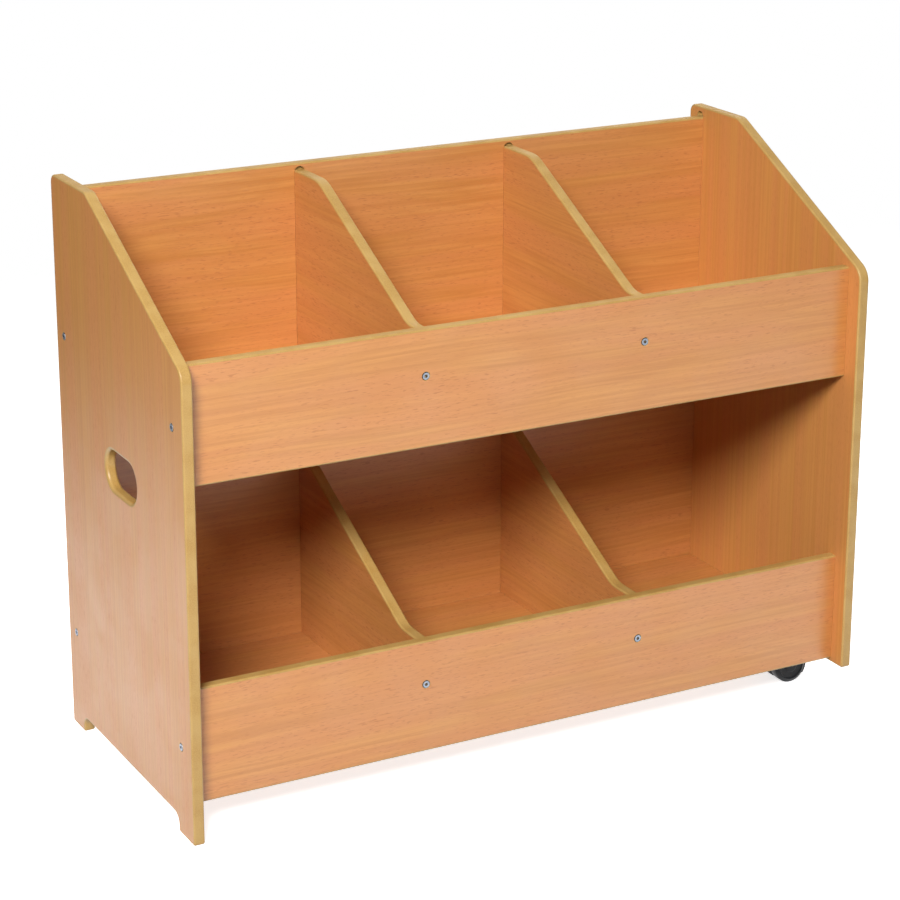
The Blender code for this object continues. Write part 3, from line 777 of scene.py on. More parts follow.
# ---------------------------------------------------------------- finishes
class Coat:
    """A material under construction, whose patterns follow the piece's own coordinates."""

    def __init__(self, name: str, turn: Triple = (0.0, 0.0, 0.0), start: Triple = (0.0, 0.0, 0.0)) -> None:
        """Open the material.

        Args:
            name: the material's name.
            turn: rotation of the patterns.
            start: offset of the patterns.
        """
        self.material = bpy.data.materials.new(name)
        self.material.use_nodes = True
        self.sheet = Sheet(self.material.node_tree)
        self.shader = self.material.node_tree.nodes["Principled BSDF"]
        place = self.sheet.add("ShaderNodeTexCoord").outputs["Object"]
        feeds = {"Vector": place, "Rotation": turn, "Location": start}
        self.spot = self.sheet.add("ShaderNodeMapping", feeds).outputs["Vector"]

    def use(self, pattern: Pattern, **values: float) -> bpy.types.bpy_prop_collection:
        """Place a shared effect, by its outputs."""
        return pattern.use(self.sheet, self.spot, **values)

    def relief(self, height: object, strength: float, depth: float) -> None:
        """Raise the surface by a height pattern."""
        bump = self.sheet.add("ShaderNodeBump", {"Strength": strength, "Distance": depth, "Height": height})
        self.sheet.feed(self.shader, "Normal", bump.outputs["Normal"])

    def close(self, values: dict[str, object]) -> bpy.types.Material:
        """Feed the shader and hand over the material.

        Args:
            values: sources or plain values of the shader's sockets.

        Returns:
            The material.
        """
        for label, value in values.items():
            self.sheet.feed(self.shader, label, value)
        return self.material


@dataclass(frozen=True)
class BeechFoil:
    """Printed beech facing of the boards, under a satin coat."""

    name: str
    grain: Grain
    base: Triple = (0.600, 0.268, 0.072)
    dark: Triple = (0.500, 0.198, 0.048)
    blush: Triple = (0.590, 0.232, 0.078)
    fleck: Triple = (0.380, 0.125, 0.038)
    streak_length: float = 0.30
    streak_width: float = 0.0045
    band_width: float = 0.030
    waviness: float = 0.014
    growth_share: float = 0.34
    blush_share: float = 0.55
    fleck_share: float = 0.55
    roughness: float = 0.40
    polish: float = 0.07  # how much smoother a handled patch is
    fleck_roughness: float = 0.10
    gloss: float = 0.75
    relief: Point = (0.25, 0.0002)  # strength and depth
    start: Triple = (0.0, 0.0, 0.0)

    def material(self, patterns: Patterns) -> bpy.types.Material:
        """Build the facing's material.

        Args:
            patterns: the shared effects.

        Returns:
            The material.
        """
        coat = Coat(self.name, self.grain.value, self.start)
        sheet = coat.sheet
        figure = coat.use(
            patterns.figure, Streak_Length=self.streak_length, Streak_Width=self.streak_width,
            Band_Width=self.band_width, Waviness=self.waviness,
        )
        wear = coat.use(patterns.wear)
        colour = sheet.blend(figure["Streak"], self.dark, self.base)
        colour = sheet.blend(sheet.times(figure["Growth"], self.growth_share), colour, self.dark)
        colour = sheet.blend(sheet.times(figure["Blush"], self.blush_share), colour, self.blush)
        colour = sheet.blend(sheet.times(figure["Fleck"], self.fleck_share), colour, self.fleck)
        rough = sheet.minus(self.roughness, sheet.times(wear["Smudge"], self.polish))
        rough = sheet.plus(rough, sheet.times(figure["Fleck"], self.fleck_roughness))
        coat.relief(figure["Height"], *self.relief)
        return coat.close({"Base Color": colour, "Roughness": rough, "Specular IOR Level": self.gloss})


@dataclass(frozen=True)
class LacqueredEdge:
    """Rounded fibreboard edge under clear lacquer."""

    name: str = "lacquered_edge"
    base: Triple = (0.490, 0.298, 0.086)
    dark: Triple = (0.412, 0.234, 0.060)
    pale: Triple = (0.548, 0.358, 0.124)
    pale_share: float = 0.5
    roughness: float = 0.36
    smudge_size: float = 0.05
    smudge_roughness: float = 0.10
    relief: Point = (0.20, 0.0002)

    def material(self, patterns: Patterns) -> bpy.types.Material:
        """Build the edge's material.

        Args:
            patterns: the shared effects.

        Returns:
            The material.
        """
        coat = Coat(self.name)
        sheet = coat.sheet
        speckle = coat.use(patterns.speckle)
        wear = coat.use(patterns.wear, Smudge_Size=self.smudge_size)
        colour = sheet.blend(speckle["Speck"], self.dark, self.base)
        colour = sheet.blend(sheet.times(speckle["Cloud"], self.pale_share), colour, self.pale)
        rough = sheet.plus(sheet.times(wear["Smudge"], self.smudge_roughness), self.roughness)
        coat.relief(speckle["Height"], *self.relief)
        return coat.close({"Base Color": colour, "Roughness": rough})


@dataclass(frozen=True)
class BareWood:
    """Raw beech of the dowels."""

    name: str = "raw_dowel_beech"
    base: Triple = (0.640, 0.470, 0.290)
    dark: Triple = (0.520, 0.350, 0.190)
    roughness: float = 0.6
    streak_roughness: float = 0.12
    relief: Point = (0.4, 0.0002)

    def material(self, patterns: Patterns) -> bpy.types.Material:
        """Build the dowels' material.

        Args:
            patterns: the shared effects.

        Returns:
            The material.
        """
        coat = Coat(self.name)
        sheet = coat.sheet
        figure = coat.use(patterns.figure, Streak_Length=0.04, Streak_Width=0.0012, Waviness=0.001)
        colour = sheet.blend(figure["Streak"], self.dark, self.base)
        rough = sheet.plus(sheet.times(figure["Streak"], self.streak_roughness), self.roughness)
        coat.relief(figure["Height"], *self.relief)
        return coat.close({"Base Color": colour, "Roughness": rough})


@dataclass(frozen=True)
class PlatedSteel:
    """Zinc-plated steel of screws, plates and axles."""

    name: str
    base: Triple = (0.25, 0.27, 0.30)
    tint: Triple = (0.19, 0.22, 0.27)
    roughness: float = 0.38
    speck_roughness: float = 0.10
    rub_roughness: float = 0.12
    relief: Point = (0.12, 0.0001)

    def material(self, patterns: Patterns) -> bpy.types.Material:
        """Build the plated metal's material.

        Args:
            patterns: the shared effects.

        Returns:
            The material.
        """
        coat = Coat(self.name)
        sheet = coat.sheet
        speckle = coat.use(patterns.speckle, Speck_Size=0.0009, Cloud_Size=0.006)
        wear = coat.use(patterns.wear, Smudge_Size=0.01, Rub_Length=0.006, Rub_Width=0.0003)
        colour = sheet.blend(speckle["Cloud"], self.base, self.tint)
        rough = sheet.plus(sheet.times(speckle["Speck"], self.speck_roughness), self.roughness)
        rough = sheet.plus(rough, sheet.times(wear["Rub"], self.rub_roughness))
        coat.relief(speckle["Height"], *self.relief)
        return coat.close({"Base Color": colour, "Roughness": rough, "Metallic": 1.0})


@dataclass(frozen=True)
class BlackNylon:
    """Black moulded nylon of the castors."""

    name: str
    base: Triple = (0.006, 0.007, 0.009)
    scuffed: Triple = (0.022, 0.023, 0.026)
    roughness: float = 0.42
    smudge_roughness: float = 0.16
    scuff_share: float = 0.5
    dust_share: float = 0.5  # of the scuffs' share
    gloss: float = 0.2
    relief: Point = (0.18, 0.0001)

    def material(self, patterns: Patterns) -> bpy.types.Material:
        """Build the plastic's material.

        Args:
            patterns: the shared effects.

        Returns:
            The material.
        """
        coat = Coat(self.name)
        sheet = coat.sheet
        speckle = coat.use(patterns.speckle, Speck_Size=0.0006, Cloud_Size=0.012)
        wear = coat.use(patterns.wear, Smudge_Size=0.018, Rub_Length=0.010, Rub_Width=0.0006)
        marks = sheet.times(wear["Rub"], self.scuff_share)
        dust = sheet.times(wear["Smudge"], self.scuff_share * self.dust_share)
        colour = sheet.blend(sheet.math("ADD", marks, dust, clamp=True), self.base, self.scuffed)
        rough = sheet.plus(sheet.times(wear["Smudge"], self.smudge_roughness), self.roughness)
        coat.relief(speckle["Height"], *self.relief)
        return coat.close({"Base Color": colour, "Roughness": rough, "Specular IOR Level": self.gloss})


class Palette:
    """Every finish of the cart, built once."""

    def __init__(self) -> None:
        """Build the shared patterns and the materials that use them."""
        patterns = Patterns()
        self.upright = BeechFoil(
            "beech_upright", Grain.UPRIGHT, base=(0.620, 0.288, 0.076), dark=(0.555, 0.238, 0.060),
            blush=(0.620, 0.246, 0.084), streak_length=0.9, streak_width=0.0042, band_width=0.022,
            waviness=0.002, fleck_share=0.25, gloss=0.26, growth_share=0.12,
        ).material(patterns)
        self.lengthwise = BeechFoil("beech_lengthwise", Grain.LENGTHWISE).material(patterns)
        crosswise = BeechFoil("beech_front_to_back", Grain.FRONT_TO_BACK, start=(0.3, 0.1, 0.0))
        self.crosswise = crosswise.material(patterns)
        self.edge = LacqueredEdge().material(patterns)
        self.dowel = BareWood().material(patterns)
        self.zinc = PlatedSteel("bright_zinc").material(patterns)
        self.plate = PlatedSteel("castor_plate_zinc", roughness=0.34).material(patterns)
        self.axle = PlatedSteel("axle_zinc", roughness=0.30).material(patterns)
        self.hood = BlackNylon("hood_nylon", roughness=0.52).material(patterns)
        self.wheel = BlackNylon("wheel_nylon", roughness=0.46, scuff_share=0.8).material(patterns)


def dress(piece: bpy.types.Object, *materials: bpy.types.Material) -> None:
    """Give a piece its materials, slot by slot, and keep which face has which.

    Args:
        piece: the piece or a solid of the frame.
        materials: its materials, in the order of its slots.
    """
    slots = piece.data.materials
    for index, material in enumerate(materials):
        if index < len(slots):
            slots[index] = material
        else:
            slots.append(material)


def settle(piece: bpy.types.Object, body: str, slot: str, *nodes: str) -> None:
    """Hang a finished piece on its body in place of the frame's solids.

    Args:
        piece: the finished piece.
        body: the body that it moves with.
        slot: not used.
        nodes: the solids of the frame that it stands for.
    """
    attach(piece, body)
    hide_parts(*nodes)


# ---------------------------------------------------------------- places read from the frame
class Places:
    """Boxes of the frame's solids, and the places that follow from them."""

    def __init__(self, frame: dict) -> None:
        """Read every node's box once."""
        self.boxes = {name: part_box(name) for name in frame["nodes"]}

    def low(self, node: str) -> Vector:
        """Lowest corner of a node."""
        return self.boxes[node][0]

    def high(self, node: str) -> Vector:
        """Highest corner of a node."""
        return self.boxes[node][1]

    def middle(self, node: str) -> Vector:
        """Middle of a node's box."""
        return (self.low(node) + self.high(node)) / 2

    def named(self, start: str) -> list[str]:
        """Names of the nodes that start with a word, in order."""
        return sorted(name for name in self.boxes if name.startswith(start))


@dataclass
class Assembly:
    """A group of the cart's pieces, with the places and finishes that they take."""

    places: Places
    palette: Palette


# ---------------------------------------------------------------- screws
@dataclass(frozen=True)
class ScrewHead:
    """Sizes of one kind of screw, from its head down."""

    head_radius: float
    head_height: float
    taper: float
    proud: float
    socket_radius: float
    socket_depth: float
    socket_sides: int
    shank_radius: float
    length: float
    sides: int = 32


class ScrewTree:
    """Geometry nodes that set one screw on every point, along the point's own direction."""

    NUMBERS = (
        "Head Radius", "Head Height", "Taper", "Proud", "Socket Radius", "Socket Depth", "Shank Radius", "Length",
    )
    COUNTS = ("Sides", "Socket Sides")
    HEADING = "heading"  # the direction that each point carries
    SHANK_SHARE = 0.93  # of the length, from the board's face to the point
    POINT_SHARE = 0.08  # of the length, so that the point overlaps the shank
    POINT_FIT = 0.97  # widest radius of the point, as a share of the shank's
    POINT_RADIUS = 0.0003

    def __init__(self) -> None:
        """Build the tree once."""
        self.tree = bpy.data.node_groups.new("screws_on_points", "GeometryNodeTree")
        sockets = [("Geometry", "Geometry")] + [(label, "Float") for label in self.NUMBERS]
        sockets += [(label, "Int") for label in self.COUNTS] + [("Material", "Material")]
        for label, kind in sockets:
            self.tree.interface.new_socket(label, in_out="INPUT", socket_type=f"NodeSocket{kind}")
        self.tree.interface.new_socket("Geometry", in_out="OUTPUT", socket_type="NodeSocketGeometry")
        self.sheet = Sheet(self.tree)
        self.source = self.sheet.add("NodeGroupInput")
        self.scatter(self.screw())

    def get(self, label: str) -> Socket:
        """The source of one input."""
        return self.source.outputs[label]

    def cone(self, sides: str, top: object, bottom: object, depth: object, height: object) -> Socket:
        """A closed cone or tapered disc.

        Args:
            sides: the input that holds its number of sides.
            top: its upper radius.
            bottom: its lower radius.
            depth: how tall it is.
            height: where its lower end stands.

        Returns:
            Its mesh.
        """
        feeds = {"Vertices": self.get(sides), "Radius Top": top, "Radius Bottom": bottom, "Depth": depth}
        mesh = self.sheet.add("GeometryNodeMeshCone", feeds).outputs["Mesh"]
        feeds = {"Geometry": mesh, "Translation": self.sheet.pack(0.0, 0.0, height)}
        return self.sheet.add("GeometryNodeTransform", feeds).outputs[0]

    def screw(self) -> Socket:
        """Lay out the screw: a tapered head, a shank, a point and a sunk socket.

        Returns:
            Its mesh.
        """
        sheet, get = self.sheet, self.get
        under = sheet.minus(get("Proud"), get("Head Height"))
        crown = sheet.minus(get("Head Radius"), get("Taper"))
        head = self.cone("Sides", crown, get("Head Radius"), get("Head Height"), under)
        reach = sheet.times(get("Length"), self.SHANK_SHARE)
        neck = sheet.plus(reach, sheet.times(under, 0.5))
        shank = self.cone("Sides", get("Shank Radius"), get("Shank Radius"), neck, sheet.times(reach, -1.0))
        wide = sheet.times(get("Shank Radius"), self.POINT_FIT)
        tall = sheet.times(get("Length"), self.POINT_SHARE)
        tip = self.cone("Sides", wide, self.POINT_RADIUS, tall, sheet.times(get("Length"), -1.0))
        joined = sheet.add("GeometryNodeMeshBoolean", operation="UNION", solver="EXACT")
        for solid in (head, shank, tip):
            sheet.feed(joined, "Mesh 2", solid)
        floor = sheet.minus(get("Proud"), get("Socket Depth"))
        tall = sheet.times(get("Socket Depth"), 2.0)
        socket = self.cone("Socket Sides", get("Socket Radius"), get("Socket Radius"), tall, floor)
        feeds = {"Mesh 1": joined.outputs["Mesh"], "Mesh 2": socket}
        return sheet.add("GeometryNodeMeshBoolean", feeds, operation="DIFFERENCE", solver="EXACT").outputs["Mesh"]

    def scatter(self, screw: Socket) -> None:
        """Set the screw on every point and make it real.

        Args:
            screw: the screw's mesh.
        """
        add = self.sheet.add
        points = add("GeometryNodeMeshToPoints", {"Mesh": self.get("Geometry")}).outputs["Points"]
        heading = add("GeometryNodeInputNamedAttribute", {"Name": self.HEADING}, data_type="FLOAT_VECTOR")
        aim = add("FunctionNodeAlignRotationToVector", {"Vector": heading.outputs["Attribute"]}, axis="Z")
        feeds = {"Points": points, "Instance": screw, "Rotation": aim.outputs["Rotation"]}
        copies = add("GeometryNodeInstanceOnPoints", feeds).outputs["Instances"]
        real = add("GeometryNodeRealizeInstances", {"Geometry": copies}).outputs["Geometry"]
        coat = add("GeometryNodeSetMaterial", {"Geometry": real, "Material": self.get("Material")})
        add("NodeGroupOutput", {"Geometry": coat.outputs["Geometry"]})

    def make(
        self, name: str, spots: Sequence[Box], size: ScrewHead, material: bpy.types.Material,
    ) -> bpy.types.Object:
        """Make one plain mesh of screws.

        Args:
            name: the piece's name.
            spots: point and outward direction of each screw.
            size: the screws' sizes.
            material: the screws' finish.

        Returns:
            The screws as one object.
        """
        seeds = bpy.data.meshes.new(f"{name}_points")
        seeds.from_pydata([spot for spot, _ in spots], [], [])
        heading = seeds.attributes.new(self.HEADING, "FLOAT_VECTOR", "POINT")
        for index, (_, direction) in enumerate(spots):
            heading.data[index].vector = direction
        carrier = linked(f"{name}_points", seeds)
        modifier = carrier.modifiers.new("screws", "NODES")
        modifier.node_group = self.tree
        values = {label: getattr(size, label.lower().replace(" ", "_")) for label in self.NUMBERS + self.COUNTS}
        values["Material"] = material
        for item in self.tree.interface.items_tree:
            if item.in_out == "INPUT" and item.name in values:
                modifier[item.identifier] = values[item.name]
        mesh = applied(carrier)
        if self.HEADING in mesh.attributes:
            mesh.attributes.remove(mesh.attributes[self.HEADING])
        mesh.materials.append(material)
        return placed(name, mesh)


@dataclass
class Screws(Assembly):
    """The furniture screws through the boards and the screws of the castor plates."""

    tree: ScrewTree = field(default_factory=ScrewTree)
    furniture: ScrewHead = ScrewHead(
        head_radius=0.0052, head_height=0.0020, taper=0.0005, proud=0.0004, socket_radius=0.0023,
        socket_depth=0.0026, socket_sides=6, shank_radius=0.0028, length=0.050,
    )
    plate: ScrewHead = ScrewHead(
        head_radius=0.0034, head_height=0.0018, taper=0.0012, proud=0.0021, socket_radius=0.0013,
        socket_depth=0.0009, socket_sides=4, shank_radius=0.0018, length=0.0140, sides=24,
    )

    def seat(self, node: str, proud: float) -> Box:
        """Find where one screw of the frame meets its board.

        Args:
            node: the screw's node.
            proud: how far its head stands out.

        Returns:
            The point on the board's face and the outward direction.
        """
        if "castor" in node:
            way = -UP
        elif node.startswith("side"):
            way = -X_WAY if "_left_" in node else X_WAY
        else:
            way = -Y_WAY if node.endswith("front") else Y_WAY
        half = (self.places.high(node) - self.places.low(node)) / 2
        return self.places.middle(node) + way * (abs(way.dot(half)) - proud), way

    def build(self) -> None:
        """Make both sets of screws and hang them on the cart."""
        for name, size, starts in (
            ("furniture_screws", self.furniture, ("side_screw_", "divider_screw_")),
            ("castor_plate_screws", self.plate, ("front_castor_screw_", "rear_castor_screw_")),
        ):
            nodes = [node for start in starts for node in self.places.named(start)]
            spots = [self.seat(node, size.proud) for node in nodes]
            settle(self.tree.make(name, spots, size, self.palette.zinc), "cart", "zinc_screw", *nodes)
            log.info("%s: %d", name, len(nodes))


# ---------------------------------------------------------------- boards
@dataclass
class BoardWork(Assembly):
    """Sizes and steps that all boards share."""

    round_over: float = 0.0025
    corner: float = 0.0032
    counterbore_radius: float = 0.0055
    counterbore_depth: float = 0.0022
    counterbore_lip: float = 0.0004

    def counterbore(self, across: float, height: float, face: Face) -> Recess:
        """The sunk seat of one screw head."""
        mouth = circle((across, height), self.counterbore_radius)
        return Recess(mouth, face, self.counterbore_depth, self.counterbore_lip)

    @staticmethod
    def groove(sides: Point, ends: Point, face: Face, depth: float) -> Recess:
        """An upright round-ended groove that takes another board.

        Args:
            sides: both sides of the board that it takes.
            ends: centres of its lower and upper ends.
            face: the face it is cut into.
            depth: how deep it is.

        Returns:
            The groove as a recess.
        """
        width = sides[1] - sides[0] + 2 * GAP
        middle = (sum(sides) / 2, sum(ends) / 2)
        return Recess(obround(middle, ends[1] - ends[0] + width, width, upright=True), face, depth)

    def hang(self, piece: bpy.types.Object, facing: bpy.types.Material, node: str) -> None:
        """Dress a board and hang it on the cart in place of its solid."""
        dress(piece, facing, self.palette.edge)
        settle(piece, "cart", "beech_board", node)


@dataclass
class SidePanels(BoardWork):
    """The two end boards, with their sloped fronts."""

    flat_top: float = 0.122
    slope_foot_drop: float = 0.002
    front_radius: float = 0.026
    top_radius: float = 0.022
    rear_radius: float = 0.012
    front_foot: float = 0.049
    rear_foot: float = 0.044
    arch_height: float = 0.0225
    arch_radius: float = 0.014
    slot_length: float = 0.104
    slot_width: float = 0.053
    slot_height: float = 0.4216
    slot_shift: float = -0.0034
    slot_round: float = 0.0045
    groove_depth: float = 0.0060

    def top_corners(self, low: Vector, high: Vector) -> list[Corner]:
        """Corners from the rear edge over the top down to the front edge.

        Args:
            low: the board's lowest corner.
            high: its highest corner.

        Returns:
            The corners, in order.
        """
        return [
            Corner(high.y, high.z, self.rear_radius),
            Corner(high.y - self.flat_top, high.z, self.top_radius),
            Corner(low.y, self.places.high("upper_front_panel").z - self.slope_foot_drop, self.front_radius),
        ]

    def feet(self, low: Vector, high: Vector) -> list[Corner]:
        """Corners along the floor of the footed board, with the arch between its feet.

        Args:
            low: the board's lowest corner.
            high: its highest corner.

        Returns:
            The corners, in order.
        """
        front, rear = low.y + self.front_foot, high.y - self.rear_foot
        arch_top = low.z + self.arch_height
        return [
            Corner(low.y, low.z, self.corner), Corner(front, low.z, self.corner),
            Corner(front, arch_top, self.arch_radius), Corner(rear, arch_top, self.arch_radius),
            Corner(rear, low.z, self.corner), Corner(high.y, low.z, self.corner),
        ]

    def recesses(self, label: str, outside: Face, inside: Face) -> list[Recess]:
        """Screw seats and the back board's groove.

        Args:
            label: left or right.
            outside: the board's outer face, for the screws.
            inside: its inner face, for the groove.

        Returns:
            The recesses.
        """
        screws = [self.places.middle(node) for node in self.places.named(f"side_screw_{label}_")]
        cuts = [self.counterbore(middle.y, middle.z, outside) for middle in screws]
        low, high = self.places.boxes["back_panel"]
        return cuts + [self.groove((low.y, high.y), (low.z, high.z), inside, self.groove_depth)]

    def build(self) -> None:
        """Make both end boards and hang them on the cart."""
        for label, outside, inside in (("left", Face.LOW, Face.HIGH), ("right", Face.HIGH, Face.LOW)):
            node = f"{label}_side_panel"
            low, high = self.places.boxes[node]
            cuts = self.recesses(label, outside, inside)
            if label == "left":
                base = self.feet(low, high)
                middle = ((low.y + high.y) / 2 + self.slot_shift, self.slot_height)
                slot = obround(middle, self.slot_length, self.slot_width)
                cuts.append(Recess(slot, Face.THROUGH, lip=self.slot_round))
            else:
                base = [Corner(low.y, low.z, self.corner), Corner(high.y, low.z, self.corner)]
            slab = Slab(Plane.YZ, low.x, high.x, self.round_over, recesses=cuts)
            piece = slab.make(f"{label}_end_board", outline(base + self.top_corners(low, high)))
            self.hang(piece, self.palette.upright, node)
        log.info("end boards: 2, with hand slot, feet and back-board grooves")


@dataclass
class LongPanels(BoardWork):
    """The two front boards, the back board and the two shelves."""

    shelf_round: float = 0.0006
    shelf_steps: int = 3
    shelf_corner: float = 0.0015
    ends: tuple[int, ...] = (1, 3)  # sides of the outline that stay square
    groove_depth: float = 0.0050
    groove_drop: float = 0.0035  # the divider's rounded top lets its groove end this much lower

    def upright(self, name: str, node: str, cuts: list[Recess]) -> None:
        """Make one upright board and hang it on the cart.

        Args:
            name: the piece's name.
            node: the solid that it stands for.
            cuts: its recesses.
        """
        low, high = self.places.boxes[node]
        slab = Slab(Plane.XZ, low.y, high.y, self.round_over, recesses=cuts)
        piece = slab.make(name, rectangle((low.x, low.z), (high.x, high.z)), self.ends)
        self.hang(piece, self.palette.lengthwise, node)

    def seats(self, start: str, side: str, face: Face) -> list[Recess]:
        """Seats of the divider screws on one side of the cart.

        Args:
            start: how the screws' names start.
            side: front or back.
            face: the face that they are cut into.

        Returns:
            The recesses.
        """
        screws = [self.places.middle(node) for node in self.places.named(start) if f"_{side}" in node]
        return [self.counterbore(middle.x, middle.z, face) for middle in screws]

    def back_grooves(self) -> list[Recess]:
        """Grooves of the back board that take the dividers.

        Returns:
            The recesses.
        """
        cuts = []
        for tier in ("upper", "lower"):
            for side in ("left", "right"):
                low, high = self.places.boxes[f"{tier}_{side}_divider"]
                ends = (low.z - GAP, high.z - self.groove_drop)
                cuts.append(self.groove((low.x, high.x), ends, Face.LOW, self.groove_depth))
        return cuts

    def shelf(self, tier: str) -> None:
        """Make one shelf and hang it on the cart.

        Args:
            tier: upper or lower.
        """
        low, high = self.places.boxes[f"{tier}_shelf"]
        slab = Slab(Plane.XY, low.z, high.z, self.shelf_round, self.shelf_steps)
        piece = slab.make(f"{tier}_shelf_board", rectangle((low.x, low.y), (high.x, high.y), self.shelf_corner))
        self.hang(piece, self.palette.lengthwise, f"{tier}_shelf")

    def build(self) -> None:
        """Make the long boards and hang them on the cart."""
        for tier in ("upper", "lower"):
            cuts = self.seats(f"divider_screw_{tier}_", "front", Face.LOW)
            self.upright(f"{tier}_front_board", f"{tier}_front_panel", cuts)
            self.shelf(tier)
        cuts = self.back_grooves() + self.seats("divider_screw_", "back_", Face.HIGH)
        self.upright("back_board", "back_panel", cuts)
        log.info("long boards: 5")


@dataclass
class Dividers(BoardWork):
    """The four dividers, with their swept front slopes."""

    foot: dict[str, float] = field(default_factory=lambda: {"upper": 0.0210, "lower": 0.0436})
    crest: dict[str, float] = field(default_factory=lambda: {"upper": 0.0706, "lower": 0.0304})
    front_drop: float = 0.001
    sweep: float = 0.050
    crest_radius: float = 0.055
    rear_radius: float = 0.006

    def shape(self, tier: str, low: Vector, high: Vector) -> list[Point]:
        """Outline of one divider.

        Args:
            tier: upper or lower.
            low: the divider's lowest corner.
            high: its highest corner.

        Returns:
            The points, whose first and last sides lie low and in front.
        """
        panel = self.places.high(f"{tier}_front_panel")
        front_top = panel.z - self.front_drop
        return outline([
            Corner(low.y, low.z),
            Corner(high.y, low.z),
            Corner(high.y, high.z, self.rear_radius),
            Corner(self.places.low("back_panel").y - self.crest[tier], high.z, self.crest_radius),
            Corner(panel.y + self.foot[tier], front_top, self.sweep),
            Corner(low.y, front_top),
        ], step=3.0)

    def build(self) -> None:
        """Make the dividers and hang them on the cart."""
        for tier in ("upper", "lower"):
            for side in ("left", "right"):
                node = f"{tier}_{side}_divider"
                low, high = self.places.boxes[node]
                points = self.shape(tier, low, high)
                board = Slab(Plane.YZ, low.x, high.x, self.round_over)
                piece = board.make(f"{node}_board", points, (0, len(points) - 1))
                self.hang(piece, self.palette.crosswise, node)
        log.info("dividers: 4")


